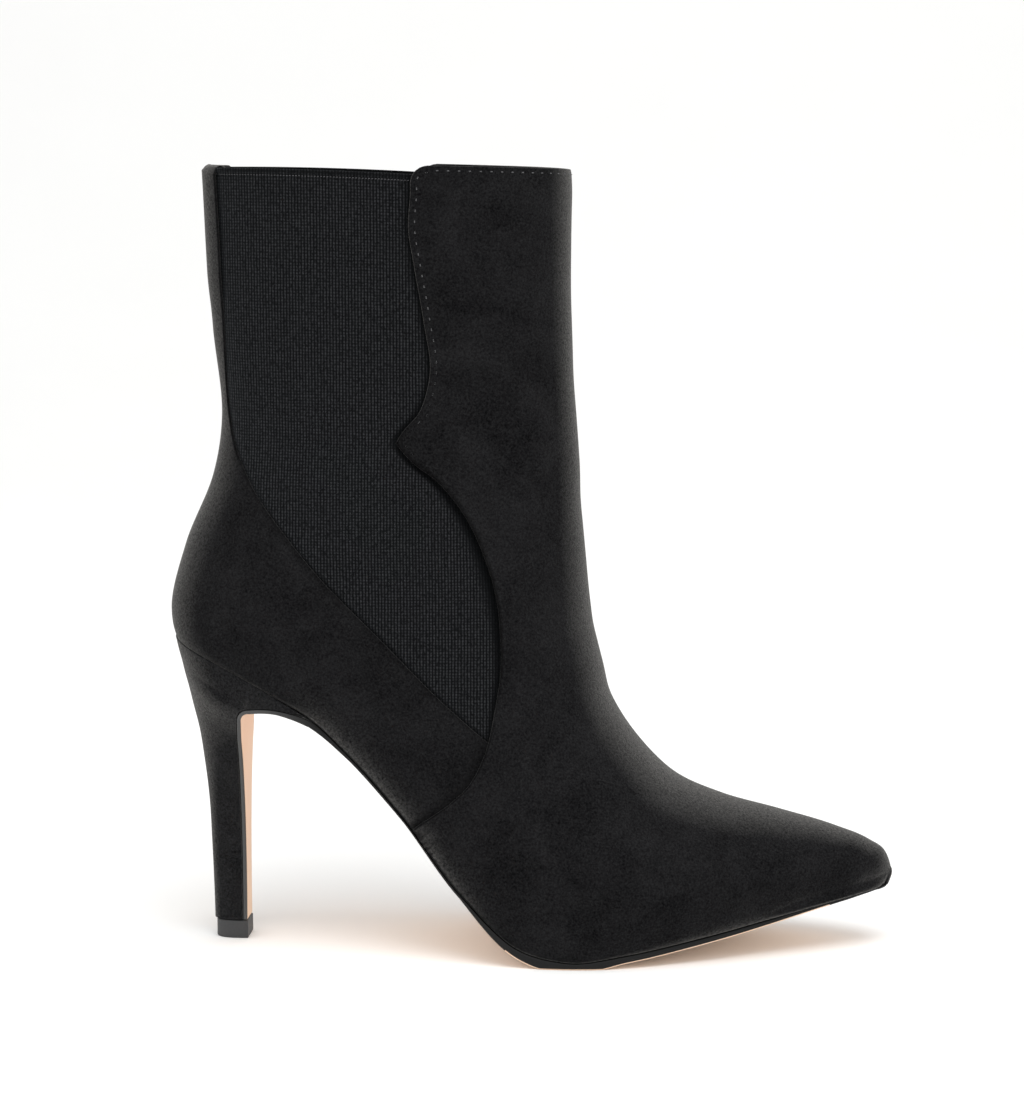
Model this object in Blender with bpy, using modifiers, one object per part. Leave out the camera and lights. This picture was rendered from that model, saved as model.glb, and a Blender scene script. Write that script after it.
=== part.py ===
"""Pull-on ankle boot for the right foot: pointed toe, stiletto heel and elastic side panels.

Every piece follows one form, the last. The last is a fan of sections. Each section lies in a plane
that holds the width of the shoe, and runs from a ridge point (top of the foot, then front of the shaft)
to a base point (sole, then seat, then back of the shaft). X runs from the back of the heel to the toe,
the lateral side of the foot is -Y and Z is up from the floor.
"""
import math

import bmesh
import bpy
import numpy as np

MM = 0.001

# Driving dimensions, in millimetres
LENGTH = 233.5
BALL_WIDTH = 77.0
HEEL_HEIGHT = 98.0
COLLAR_HEIGHT = 250.0
CLEARANCE = 0.3

# Layers of the upper, in millimetres inwards from the face of the front panel
FRONT_DEPTH = 0.0
COUNTER_DEPTH = 0.7
GORE_DEPTH = 0.9
LINING_DEPTH = 2.2

# Sections of the last from the toe to just above the collar. ridge_x and base_x are percent of LENGTH,
# ridge_z of COLLAR_HEIGHT, base_z of HEEL_HEIGHT, the four half-widths of BALL_WIDTH and level, the
# widest place, of the way from ridge to base. crown and tuck are the exponents of the curve above and
# below the widest place.
SECTION_COLUMNS = ("ridge_x", "ridge_z", "base_x", "base_z", "wide_lateral", "wide_medial",
                   "base_lateral", "base_medial", "level", "crown", "tuck")
SECTIONS = (
    ("toe_tip", 100.0, 9.9, 99.3, 21.6, 2.6, 2.6, 2.1, 2.1, 55, 2.0, 2.0),
    ("toe_front", 99.2, 11.9, 98.1, 20.5, 7.3, 7.1, 6.0, 5.7, 60, 2.0, 2.0),
    ("toe_round", 97.0, 13.4, 95.3, 19.3, 13.5, 13.0, 11.4, 11.0, 62, 2.0, 2.0),
    ("toe_box", 92.2, 15.2, 90.1, 17.0, 21.0, 19.9, 18.2, 16.9, 64, 2.0, 2.0),
    ("toe_joint", 84.5, 17.3, 81.8, 12.1, 32.5, 29.2, 29.1, 25.5, 66, 1.95, 2.0),
    ("ball_front", 76.3, 19.4, 72.4, 7.9, 44.2, 37.1, 40.5, 33.0, 68, 1.9, 2.0),
    ("ball", 69.5, 22.4, 63.0, 4.3, 52.5, 42.9, 49.6, 38.7, 70, 1.85, 2.0),
    ("tread", 64.6, 27.1, 55.2, 2.3, 55.0, 45.0, 52.2, 40.8, 72, 1.85, 2.0),
    ("tread_back", 61.7, 31.1, 48.4, 6.2, 53.2, 43.6, 49.9, 38.4, 72, 1.85, 2.0),
    ("waist_low", 59.7, 36.9, 40.7, 24.3, 47.5, 39.7, 44.2, 33.0, 70, 1.85, 2.0),
    ("waist", 58.2, 43.3, 32.5, 49.5, 43.1, 37.9, 38.4, 28.6, 66, 1.9, 2.0),
    ("waist_high", 57.3, 50.9, 22.3, 74.7, 40.3, 37.9, 33.8, 27.0, 62, 2.0, 2.1),
    ("seat_front", 56.7, 57.7, 11.6, 90.0, 39.6, 39.1, 31.8, 30.8, 60, 2.1, 2.2),
    ("seat_back", 56.4, 63.3, 2.0, 99.6, 38.8, 38.6, 14.6, 14.6, 58, 2.15, 2.3),
    ("cup", 56.0, 68.4, -0.2, 110.3, 37.9, 37.7, 5.8, 5.8, 56, 2.2, 2.25),
    ("cup_top", 55.6, 73.2, 1.8, 132.8, 35.2, 34.9, 4.8, 4.8, 54, 2.2, 2.1),
    ("ankle", 55.4, 78.4, 5.7, 155.7, 33.4, 33.1, 4.6, 4.6, 52, 2.2, 2.0),
    ("ankle_top", 55.2, 84.0, 7.0, 174.6, 32.8, 32.6, 4.6, 4.6, 50, 2.2, 2.0),
    ("shaft", 55.2, 90.4, 5.9, 204.2, 33.0, 32.8, 4.6, 4.6, 48, 2.2, 2.0),
    ("collar", 55.4, 100.0, 4.9, 255.1, 33.8, 33.5, 4.6, 4.6, 46, 2.2, 2.0),
    ("brim", 55.5, 103.6, 4.7, 264.3, 34.0, 33.7, 4.6, 4.6, 46, 2.2, 2.0),
)
ROW_OF = {row[0]: index for index, row in enumerate(SECTIONS)}
BRIM = ROW_OF["brim"]
STEPS_PER_SECTION = 2
LEAST_STEP = 0.2
CROWN_STEPS = 8
TUCK_STEPS = 7
BASE_STEPS = 3

# Where the hollow of the upper begins behind the toe and where its opening underneath ends at the seat
HOLLOW_TOE = 1.3
OPENING_END = ROW_OF["seat_back"]
OPENING_FADE = 0.4
OPENING_DROP = 1.0
LASTING_STEP = 0.05

# Side view of the panel lines: x in percent of LENGTH, z in percent of COLLAR_HEIGHT
FRONT_EDGE_UPPER = ((37.0, 100.8), (35.2, 100.2), (34.2, 99.0), (34.0, 97.2), (33.7, 92.8),
                    (34.4, 88.4), (35.7, 81.2), (36.5, 74.8), (36.1, 72.6), (34.9, 69.7),
                    (33.0, 67.7), (31.9, 66.1))
FRONT_EDGE_LOWER = ((31.9, 66.1), (34.2, 63.6), (37.2, 61.5), (39.6, 59.0), (42.0, 55.5), (43.7, 51.8),
                    (45.1, 47.6), (45.9, 42.2), (46.0, 37.4), (45.3, 32.7), (43.7, 26.5), (41.7, 23.0),
                    (39.1, 20.6), (37.0, 19.1), (30.8, 15.6))
COUNTER_SEAM = ((6.9, 101.6), (7.6, 88.0), (7.8, 78.9), (8.4, 68.7), (9.1, 65.5), (11.3, 61.0),
                (17.4, 53.5), (30.3, 40.9), (37.5, 34.1), (43.9, 28.9))
FRONT_TOP = 100.0
STRIP_TOP = 100.8
GORE_TOP_BACK = 100.3
GORE_TOP_FRONT = 99.5
LINE_STEPS = 3
COUNTER_LAP = 6.0
SIDE_REACH = 60.0
FAR = 40.0

# Insole and outsole, in millimetres. edge is how far the outsole stands past the upper's bottom edge.
INSOLE_THICKNESS = 2.0
INSOLE_PLACES = (1.8, 12.5)
OUTSOLE_TOE = 0.9
OUTSOLE_COLUMNS = ("x", "edge", "thickness")
OUTSOLE = (
    ("breast", 22.0, 0.0, 1.3),
    ("arch", 50.0, 0.0, 1.4),
    ("waist", 76.0, 0.0, 1.5),
    ("waist_low", 95.0, 0.3, 1.9),
    ("tread_back", 112.0, 0.6, 2.4),
    ("tread", 121.0, 0.6, 3.3),
    ("tread_front", 138.0, 0.6, 2.8),
    ("ball", 147.0, 0.6, 2.2),
    ("ball_front", 169.0, 0.5, 2.0),
    ("toe_box", 210.0, 0.0, 1.7),
    ("toe", 230.0, -1.4, 1.3),
)
OUTSOLE_BEVEL = 0.4

# The outsole leaves the foot at ARCH_END, passes under the heel's wings and turns down the breast on an
# arc. The heel is cut along it as far forward as WING_REACH.
ARCH_END = ROW_OF["waist_high"] + 0.2
WING_LINE = ((40.0, 78.5), (33.0, 79.5))
BREAST_X = 22.4
TURN_RADIUS = 4.3
TURN_TOP = 79.0
TURN_STEPS = 5
WING_REACH = 78.0
FLAP_HEIGHTS = (68.0, 61.0, 52.0, 42.0, 31.0, 19.0, 6.4)

# Rings of the heel, seat to tip: x in percent of LENGTH, z in percent of HEEL_HEIGHT, half-width in
# percent of BALL_WIDTH. arc is the share of the ring, from its back, that is rounded.
HEEL_COLUMNS = ("back_x", "back_z", "front_x", "front_z", "half", "arc")
HEEL = (
    ("above_seat", -0.1, 107.0, 22.5, 79.0, 34.0, 0.52),
    ("seat", 0.3, 101.5, 21.0, 75.5, 32.5, 0.54),
    ("under_seat", 1.1, 94.6, 18.0, 72.5, 28.0, 0.58),
    ("flare", 2.0, 86.7, 14.5, 70.0, 22.0, 0.64),
    ("neck", 2.7, 79.0, 12.5, 66.5, 17.2, 0.68),
    ("neck_low", 3.5, 71.0, 11.6, 61.5, 14.0, 0.70),
    ("stem_top", 4.1, 61.0, 11.4, 55.0, 11.8, 0.72),
    ("stem", 4.7, 47.5, 11.4, 44.0, 9.0, 0.74),
    ("stem_low", 5.0, 31.5, 11.4, 30.5, 7.3, 0.74),
    ("ankle_of_tip", 5.2, 17.5, 11.4, 17.5, 6.8, 0.74),
    ("tip", 5.3, 6.43, 11.4, 6.43, 7.1, 0.74),
)
HEEL_STEPS = 3
HEEL_FINE_STEPS = 8
HEEL_ARC_STEPS = 12
HEEL_ROUND = 2.2
HEEL_SWING = math.radians(2.3)
SWING_HEIGHTS = (66.0, 77.0)
SWING_REACH = (30.0, 46.0)
TOP_LIFT_HEIGHT = 6.0
TOP_LIFT_BACK = 13.0
TOP_LIFT_FRONT = 23.9
TOP_LIFT_HALF = 5.2
TOP_LIFT_BEVEL = 0.4
CORNER_ANGLE = math.radians(60)
SMOOTH_ANGLE = math.radians(40)

# Finish of each material: base colour, roughness
MATERIALS = {
    "black_suede": ((0.014, 0.014, 0.016), 0.9),
    "black_elastic": ((0.016, 0.017, 0.019), 0.8),
    "insole_board": ((0.52, 0.42, 0.33), 0.7),
    "sole_leather": ((0.80, 0.58, 0.43), 0.5),
    "lift_rubber": ((0.07, 0.07, 0.07), 0.6),
}


def read_table(columns, rows):
    """A table as one array for each named column; a row's first word is its name."""
    values = np.array([row[1:] for row in rows], float)
    return {column: values[:, index] for index, column in enumerate(columns)}


def smooth(knots, values, places):
    """Cubic through uneven knots, with the slope at each knot from its two neighbours."""
    gaps = np.diff(knots)[:, None]
    rises = np.diff(values, axis=0) / gaps
    slopes = np.empty_like(values)
    slopes[1:-1] = (rises[:-1] * gaps[1:] + rises[1:] * gaps[:-1]) / (gaps[1:] + gaps[:-1])
    slopes[0] = 2 * rises[0] - slopes[1]
    slopes[-1] = 2 * rises[-1] - slopes[-2]
    start = np.clip(np.searchsorted(knots, places, side="right") - 1, 0, len(knots) - 2)
    gap = gaps[start]
    share = (np.asarray(places, float) - knots[start])[:, None] / gap
    return ((2 * share**3 - 3 * share**2 + 1) * values[start]
            + (share**3 - 2 * share**2 + share) * gap * slopes[start]
            + (3 * share**2 - 2 * share**3) * values[start + 1]
            + (share**3 - share**2) * gap * slopes[start + 1])


def smooth_line(points, steps):
    """A smooth line through hand-chosen points, with `steps` pieces between each two."""
    points = np.array(points, float)
    chords = np.hypot(*np.diff(points, axis=0).T)
    knots = np.concatenate([[0.0], np.cumsum(chords)])
    count = (len(points) - 1) * steps + 1
    places = np.interp(np.linspace(0, len(points) - 1, count), np.arange(len(points)), knots)
    return smooth(knots, points, places)


def read_sections(places):
    """The section table in millimetres at any places along it, where 0 is the toe tip and 1 the next row."""
    units = {"ridge_x": LENGTH, "ridge_z": COLLAR_HEIGHT, "base_x": LENGTH, "base_z": HEEL_HEIGHT,
             "wide_lateral": BALL_WIDTH, "wide_medial": BALL_WIDTH, "base_lateral": BALL_WIDTH,
             "base_medial": BALL_WIDTH, "level": 100.0, "crown": 100.0, "tuck": 100.0}
    table = read_table(SECTION_COLUMNS, SECTIONS)
    values = np.stack([table[name] * units[name] / 100 for name in SECTION_COLUMNS], axis=1)
    ridge_steps = np.hypot(*np.diff(values[:, 0:2], axis=0).T)
    base_steps = np.hypot(*np.diff(values[:, 2:4], axis=0).T)
    knots = np.concatenate([[0.0], np.cumsum(ridge_steps + base_steps)])
    read = smooth(knots, values, np.interp(places, np.arange(len(knots)), knots))
    return {name: read[:, index] for index, name in enumerate(SECTION_COLUMNS)}


def last_rings(places, depth, base_shift):
    """Rings round the last, `depth` inside its face, with the base moved into the foot by `base_shift`.

    On each side a quarter superellipse opens from the ridge to the widest place, and a second one tucks
    in to the base, which is straight across.
    """
    row = {name: values[:, None] for name, values in read_sections(places).items()}
    base_shift = np.broadcast_to(base_shift, (len(places),))[:, None]
    span_x = row["base_x"] - row["ridge_x"]
    span_z = row["base_z"] - row["ridge_z"]
    span = np.hypot(span_x, span_z)
    reach = span - depth - base_shift
    crown_angle = np.linspace(0, math.pi / 2, CROWN_STEPS + 1)[None, :]
    tuck_angle = np.linspace(0, math.pi / 2, TUCK_STEPS + 1)[None, 1:]
    level = row["level"] / 100
    crown_along = level * (1 - np.cos(crown_angle) ** (2 / row["crown"]))
    tuck_along = level + (1 - level) * np.sin(tuck_angle) ** (2 / row["tuck"])
    along = depth + reach * np.concatenate([crown_along, tuck_along], axis=1)

    def half_width(wide, base):
        crown_width = (wide - depth) * np.sin(crown_angle) ** (2 / row["crown"])
        tuck_width = (base - depth) + (wide - base) * np.cos(tuck_angle) ** (2 / row["tuck"])
        return np.concatenate([crown_width, tuck_width], axis=1)

    lateral = -half_width(row["wide_lateral"], row["base_lateral"])
    medial = half_width(row["wide_medial"], row["base_medial"])
    across = np.linspace(0, 1, BASE_STEPS + 1)[None, 1:-1]
    floor = lateral[:, -1:] * (1 - across) + medial[:, -1:] * across
    y = np.concatenate([lateral, floor, medial[:, :0:-1]], axis=1)
    base_along = np.broadcast_to(along[:, -1:], floor.shape)
    along = np.concatenate([along, base_along, along[:, :0:-1]], axis=1)
    x = row["ridge_x"] + span_x / span * along
    z = row["ridge_z"] + span_z / span * along
    return np.stack([x, y, z], axis=-1)


def back_share(places):
    """0 where the base is the sole, 1 where it is the back of the shoe."""
    return np.interp(places, (ROW_OF["seat_back"], ROW_OF["cup"]), (0.0, 1.0))


def section_places(first, last):
    """Even places along the section table from `first` to `last`, the same for every piece."""
    count = (len(SECTIONS) - 1) * STEPS_PER_SECTION + 1
    places = np.linspace(0, len(SECTIONS) - 1, count)
    between = places[(places > first + LEAST_STEP) & (places < last - LEAST_STEP)]
    return np.concatenate([[first], between, [last]])


def ramp(values, full, none):
    """1 up to `full`, 0 from `none` on and a smooth step between."""
    share = np.clip((none - values) / (none - full), 0, 1)
    return share * share * (3 - 2 * share)


def swing(points):
    """The stem of the heel and the flap on it turn their front a little to the lateral side."""
    share = ramp(points[..., 2], *SWING_HEIGHTS) * ramp(points[..., 0], *SWING_REACH)
    swung = points.copy()
    swung[..., 0] += points[..., 1] * math.tan(HEEL_SWING) * share
    return swung


def read_heel(steps):
    """The heel's ring table in millimetres, with `steps` pieces between each two rows."""
    units = {"back_x": LENGTH, "back_z": HEEL_HEIGHT, "front_x": LENGTH, "front_z": HEEL_HEIGHT,
             "half": BALL_WIDTH, "arc": 100.0}
    table = read_table(HEEL_COLUMNS, HEEL)
    values = np.stack([table[name] * units[name] / 100 for name in HEEL_COLUMNS], axis=1)
    read = smooth_line(values[:, 0:2], steps)
    knots = np.arange(len(HEEL), dtype=float)
    rest = smooth(knots, values[:, 2:], np.linspace(0, len(HEEL) - 1, len(read)))
    read = np.concatenate([read, rest], axis=1)
    return {name: read[:, index] for index, name in enumerate(HEEL_COLUMNS)}


def heel_half_width(points):
    """Half-width of the heel at side-view points, found by which ring's plane passes through each."""
    ring = read_heel(HEEL_FINE_STEPS)
    run_x = ring["front_x"] - ring["back_x"]
    run_z = ring["front_z"] - ring["back_z"]
    widths = []
    for x, z in points:
        above = run_x * (z - ring["back_z"]) - run_z * (x - ring["back_x"])
        widths.append(np.interp(0.0, above, ring["half"]))
    return np.array(widths)


def heel_rings():
    """Rings of the heel: straight sides from the front, rounded at the back by a half superellipse."""
    ring = {name: values[:, None] for name, values in read_heel(HEEL_STEPS).items()}
    turn = np.linspace(-math.pi / 2, math.pi / 2, HEEL_ARC_STEPS + 1)[None, :]
    arc_share = ring["arc"] * (1 - np.cos(turn) ** (2 / HEEL_ROUND))
    arc_width = np.sign(np.sin(turn)) * np.abs(np.sin(turn)) ** (2 / HEEL_ROUND)
    ends = np.ones_like(ring["arc"])
    share = np.concatenate([ends, arc_share, ends], axis=1)
    width = np.concatenate([-ends, np.broadcast_to(arc_width, arc_share.shape), ends], axis=1)
    x = ring["back_x"] + (ring["front_x"] - ring["back_x"]) * share
    z = ring["back_z"] + (ring["front_z"] - ring["back_z"]) * share
    return swing(np.stack([x, ring["half"] * width, z], axis=-1))


def outward_normals(line):
    """Unit normals of a side-view line that runs from the toe to the heel, on its floor side."""
    slope = np.gradient(line, axis=0)
    length = np.hypot(slope[:, 0], slope[:, 1])[:, None]
    return np.stack([-slope[:, 1], slope[:, 0]], axis=1) / length


def outsole_line():
    """Side view of the outsole's foot side from the toe to the top lift, and its two half-widths."""
    places = section_places(OUTSOLE_TOE, ARCH_END)
    row = read_sections(places)
    base = np.stack([row["base_x"], row["base_z"]], axis=1)
    foot = base + outward_normals(base) * CLEARANCE
    turn = np.linspace(math.pi / 2, math.pi, TURN_STEPS + 1)
    centre = np.array([BREAST_X + TURN_RADIUS, TURN_TOP - TURN_RADIUS])
    arc = centre + TURN_RADIUS * np.stack([np.cos(turn), np.sin(turn)], axis=1)
    flap = np.array([(BREAST_X, height) for height in FLAP_HEIGHTS])
    wing_knots = np.concatenate([foot[-2:], np.array(WING_LINE), arc[:2]])
    wing = smooth_line(wing_knots, 2)[3:-3]
    heel_part = np.concatenate([wing, arc, flap])
    table = read_table(OUTSOLE_COLUMNS, OUTSOLE)
    edge = np.interp(row["base_x"], table["x"], table["edge"])
    heel_widths = heel_half_width(heel_part)
    lateral = np.concatenate([row["base_lateral"] + edge, heel_widths])
    medial = np.concatenate([row["base_medial"] + edge, heel_widths])
    return np.concatenate([foot, heel_part]), lateral, medial


def outsole_rings():
    """Rings of the outsole: a plate under the foot line with a small bevel along its lower edges."""
    line, lateral, medial = outsole_line()
    table = read_table(OUTSOLE_COLUMNS, OUTSOLE)
    thickness = np.interp(line[:, 0], table["x"], table["thickness"])[:, None]
    normals = outward_normals(line)
    side = line + normals * (thickness - OUTSOLE_BEVEL)
    floor = line + normals * thickness
    side[:, 1] = np.maximum(side[:, 1], OUTSOLE_BEVEL)
    floor[:, 1] = np.maximum(floor[:, 1], 0.0)

    def corner(profile, width):
        return np.stack([profile[:, 0], width, profile[:, 1]], axis=1)

    ring = (corner(line, -lateral), corner(side, -lateral), corner(floor, OUTSOLE_BEVEL - lateral),
            corner(floor, medial - OUTSOLE_BEVEL), corner(side, medial), corner(line, medial))
    return swing(np.stack(ring, axis=1))


def insole_rings():
    """Rings of the insole: a plate on the last's base, inside the bottom edge of the upper."""
    first, last = INSOLE_PLACES
    places = section_places(first, last)
    row = read_sections(places)
    base = np.stack([row["base_x"], row["base_z"]], axis=1)
    top = base - outward_normals(base) * INSOLE_THICKNESS
    lateral = LINING_DEPTH - row["base_lateral"]
    medial = row["base_medial"] - LINING_DEPTH
    corners = [np.stack([line[:, 0], width, line[:, 1]], axis=1)
               for line, width in ((base, lateral), (base, medial), (top, medial), (top, lateral))]
    return np.stack(corners, axis=1)


def side_points(shares):
    """Side-view points from percent of LENGTH and of COLLAR_HEIGHT to millimetres."""
    return np.array(shares, float) * (LENGTH / 100, COLLAR_HEIGHT / 100)


def shifted(line, distance):
    """A side-view line moved to its left by a distance."""
    slope = np.gradient(line, axis=0)
    length = np.hypot(slope[:, 0], slope[:, 1])[:, None]
    return line + distance * np.stack([-slope[:, 1], slope[:, 0]], axis=1) / length


def front_edge():
    """Rear edge of the front panel, from the collar to the sole, with a sharp point half way."""
    upper = smooth_line(side_points(FRONT_EDGE_UPPER), LINE_STEPS)
    lower = smooth_line(side_points(FRONT_EDGE_LOWER), LINE_STEPS)
    return upper, lower


def front_outline():
    """All that lies ahead of the front panel's rear edge and under its top edge."""
    upper, lower = front_edge()
    far_x = LENGTH + FAR
    top_z = COLLAR_HEIGHT * FRONT_TOP / 100
    return np.concatenate([upper, lower[1:], [(lower[-1, 0], -FAR), (far_x, -FAR), (far_x, top_z),
                                              (LENGTH * SECTIONS[ROW_OF["collar"]][1] / 100, top_z)]])


def back_outline():
    """Counter and back strip: all behind the counter seam, and a lap under the front panel."""
    seam = smooth_line(side_points(COUNTER_SEAM), LINE_STEPS)
    top_z = COLLAR_HEIGHT * STRIP_TOP / 100
    seam = seam[seam[:, 1] < top_z]
    lap = seam[-1] + (COUNTER_LAP, -COUNTER_LAP / 2)
    under = [lap, (lap[0], -FAR), (-FAR, -FAR)]
    return np.concatenate([[(-FAR, top_z), (seam[0, 0], top_z)], seam, under])


def gore_outline():
    """The window between counter seam and front panel, drawn in by the clearance on both sides."""
    upper, lower = front_edge()
    seam = shifted(smooth_line(side_points(COUNTER_SEAM), LINE_STEPS), CLEARANCE)
    top_back = COLLAR_HEIGHT * GORE_TOP_BACK / 100
    top_front = COLLAR_HEIGHT * GORE_TOP_FRONT / 100
    junction = np.argmin(np.hypot(*(lower - seam[-1]).T))
    lower = shifted(lower[:junction], -CLEARANCE)
    upper = shifted(upper, -CLEARANCE)
    front = np.concatenate([lower[::-1], upper[::-1]])
    seam = seam[seam[:, 1] < top_back]
    seam = seam[seam[:, 0] < front[0, 0] - CLEARANCE]
    front = front[front[:, 1] < top_front]
    return np.concatenate([[(seam[0, 0], top_back)], seam, front, [(front[-1, 0], top_front)]])


def breast_outline():
    """All that lies under the outsole's foot side, raised by the clearance, at the heel."""
    line = outsole_line()[0]
    line = line - outward_normals(line) * CLEARANCE
    line = line[line[:, 0] < WING_REACH]
    ahead = WING_REACH + FAR
    return np.concatenate([line, [(line[-1, 0], -FAR), (ahead, -FAR), (ahead, line[0, 1])]])


def new_object(name, mesh, collection, parent):
    part = bpy.data.objects.new(name, mesh)
    collection.objects.link(part)
    part.parent = parent
    return part


def closed_mesh(name, vertices, faces):
    """A mesh in metres from points in millimetres, in triangles that face outwards."""
    mesh = bpy.data.meshes.new(name)
    mesh.from_pydata((vertices * MM).tolist(), [], faces)
    work = bmesh.new()
    work.from_mesh(mesh)
    bmesh.ops.triangulate(work, faces=work.faces[:])
    bmesh.ops.recalc_face_normals(work, faces=work.faces[:])
    work.to_mesh(mesh)
    work.free()
    mesh.shade_smooth()
    mesh.set_sharp_from_angle(angle=SMOOTH_ANGLE)
    return mesh


def loft(name, rings):
    """A closed solid through rings of equal count, with a flat cap at each end."""
    rows, columns = rings.shape[:2]
    faces = []
    for row in range(rows - 1):
        for column in range(columns):
            after = (column + 1) % columns
            start = row * columns
            above = start + columns
            faces.append((start + column, start + after, above + after, above + column))
    faces.append(tuple(range(columns)))
    faces.append(tuple(range((rows - 1) * columns, rows * columns)))
    return closed_mesh(name, rings.reshape(-1, 3), faces)


def outline_prism(name, outline, near, far, bend=None):
    """A side-view outline filled and extruded across the shoe, from y = near to y = far, as a mesh."""
    curve = bpy.data.curves.new(name, "CURVE")
    curve.dimensions = "2D"
    curve.fill_mode = "BOTH"
    curve.extrude = (far - near) / 2 * MM
    spline = curve.splines.new("POLY")
    spline.points.add(len(outline) - 1)
    flat = np.zeros((len(outline), 4))
    flat[:, 0:2] = outline * MM
    flat[:, 3] = 1.0
    spline.points.foreach_set("co", flat.ravel())
    spline.use_cyclic_u = True
    drawn = bpy.data.objects.new(name, curve)
    bpy.context.scene.collection.objects.link(drawn)
    bpy.context.view_layer.update()
    mesh = bpy.data.meshes.new_from_object(drawn.evaluated_get(bpy.context.evaluated_depsgraph_get()))
    bpy.data.objects.remove(drawn)
    bpy.data.curves.remove(curve)
    flat_points = np.empty(len(mesh.vertices) * 3)
    mesh.vertices.foreach_get("co", flat_points)
    flat_points = flat_points.reshape(-1, 3)
    middle = (near + far) / 2 * MM
    points = np.stack([flat_points[:, 0], middle - flat_points[:, 2], flat_points[:, 1]], axis=1)
    if bend is not None:
        points = bend(points / MM) * MM
    mesh.vertices.foreach_set("co", points.ravel())
    work = bmesh.new()
    work.from_mesh(mesh)
    bmesh.ops.remove_doubles(work, verts=work.verts[:], dist=0.01 * MM)
    bmesh.ops.recalc_face_normals(work, faces=work.faces[:])
    work.to_mesh(mesh)
    work.free()
    return mesh


def boolean(part, operation, other):
    modifier = part.modifiers.new(f"{operation.lower()}_{other.name}", "BOOLEAN")
    modifier.operation = operation
    modifier.solver = "EXACT"
    modifier.object = other


def new_material(name):
    colour, roughness = MATERIALS[name]
    material = bpy.data.materials.new(name)
    material.use_nodes = True
    shader = material.node_tree.nodes["Principled BSDF"]
    shader.inputs["Base Color"].default_value = (*colour, 1.0)
    shader.inputs["Roughness"].default_value = roughness
    shader.inputs["Metallic"].default_value = 0.0
    material.diffuse_color = (*colour, 1.0)
    return material


class Boot:
    """Collections, parent empty and materials that the pieces share."""

    def __init__(self):
        scene = bpy.context.scene
        self.parts = bpy.data.collections.new("ankle_boot")
        self.cutters = bpy.data.collections.new("ankle_boot_cutters")
        scene.collection.children.link(self.parts)
        scene.collection.children.link(self.cutters)
        self.empty = bpy.data.objects.new("boot_frame", None)
        self.parts.objects.link(self.empty)
        self.materials = {name: new_material(name) for name in MATERIALS}

    def part(self, name, mesh, material):
        mesh.materials.clear()
        mesh.materials.append(self.materials[material])
        return new_object(name, mesh, self.parts, self.empty)

    def cutter(self, name, mesh):
        cutter = new_object(name, mesh, self.cutters, self.empty)
        cutter.hide_render = True
        cutter.display_type = "WIRE"
        return cutter


def outer_form(name, depth, lift=0.0):
    """The closed last at one layer of the upper; `lift` raises its base off the sole."""
    places = section_places(0, BRIM)
    share = back_share(places)
    return loft(name, last_rings(places, depth, depth * share + lift * (1 - share)))


def hollow_form():
    """The inside of the upper, which passes out through the sole and the collar but not the back."""
    places = section_places(HOLLOW_TOE, BRIM)
    shift = np.interp(places, (OPENING_END - OPENING_FADE, OPENING_END), (-OPENING_DROP, LINING_DEPTH))
    return loft("hollow", last_rings(places, LINING_DEPTH, shift))


def make_upper(boot, hollow):
    """Front panel and counter, joined, hollowed and open at the collar, the sole and the two windows."""
    front_mesh = outline_prism("front_region", front_outline(), -SIDE_REACH, SIDE_REACH)
    front_prism = boot.cutter("front_region", front_mesh)
    back_mesh = outline_prism("back_region", back_outline(), -SIDE_REACH, SIDE_REACH)
    back_prism = boot.cutter("back_region", back_mesh)
    counter = boot.cutter("counter_form", outer_form("counter_form", COUNTER_DEPTH, LASTING_STEP))
    boolean(counter, "INTERSECT", back_prism)
    upper = boot.part("upper", outer_form("upper", FRONT_DEPTH), "black_suede")
    boolean(upper, "INTERSECT", front_prism)
    boolean(upper, "UNION", counter)
    boolean(upper, "DIFFERENCE", hollow)
    return upper


def make_gores(boot, hollow):
    """The two elastic panels, cut from a form a little under the front panel's face."""
    sides = {"gore_outer": (-SIDE_REACH, 0.0), "gore_inner": (0.0, SIDE_REACH)}
    gores = []
    for name, (near, far) in sides.items():
        window_mesh = outline_prism(f"{name}_region", gore_outline(), near, far)
        window = boot.cutter(f"{name}_region", window_mesh)
        gore = boot.part(name, outer_form(name, GORE_DEPTH), "black_elastic")
        boolean(gore, "INTERSECT", window)
        boolean(gore, "DIFFERENCE", hollow)
        gores.append(gore)
    return gores


def make_insole(boot):
    return boot.part("insole", loft("insole", insole_rings()), "insole_board")


def make_outsole(boot):
    return boot.part("outsole", loft("outsole", outsole_rings()), "sole_leather")


def make_heel(boot):
    """The covered heel: its seat is cut by the upper's form and its breast by the outsole's line."""
    places = section_places(0, BRIM)
    share = back_share(places)
    seat_shift = (COUNTER_DEPTH - CLEARANCE) * share - CLEARANCE * (1 - share)
    seat_rings = last_rings(places, COUNTER_DEPTH - CLEARANCE, seat_shift)
    seat = boot.cutter("seat_form", loft("seat_form", seat_rings))
    breast_mesh = outline_prism("breast_region", breast_outline(), -SIDE_REACH, SIDE_REACH, swing)
    breast = boot.cutter("breast_region", breast_mesh)
    heel = boot.part("heel", loft("heel", heel_rings()), "black_suede")
    boolean(heel, "DIFFERENCE", seat)
    boolean(heel, "DIFFERENCE", breast)
    return heel


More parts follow.
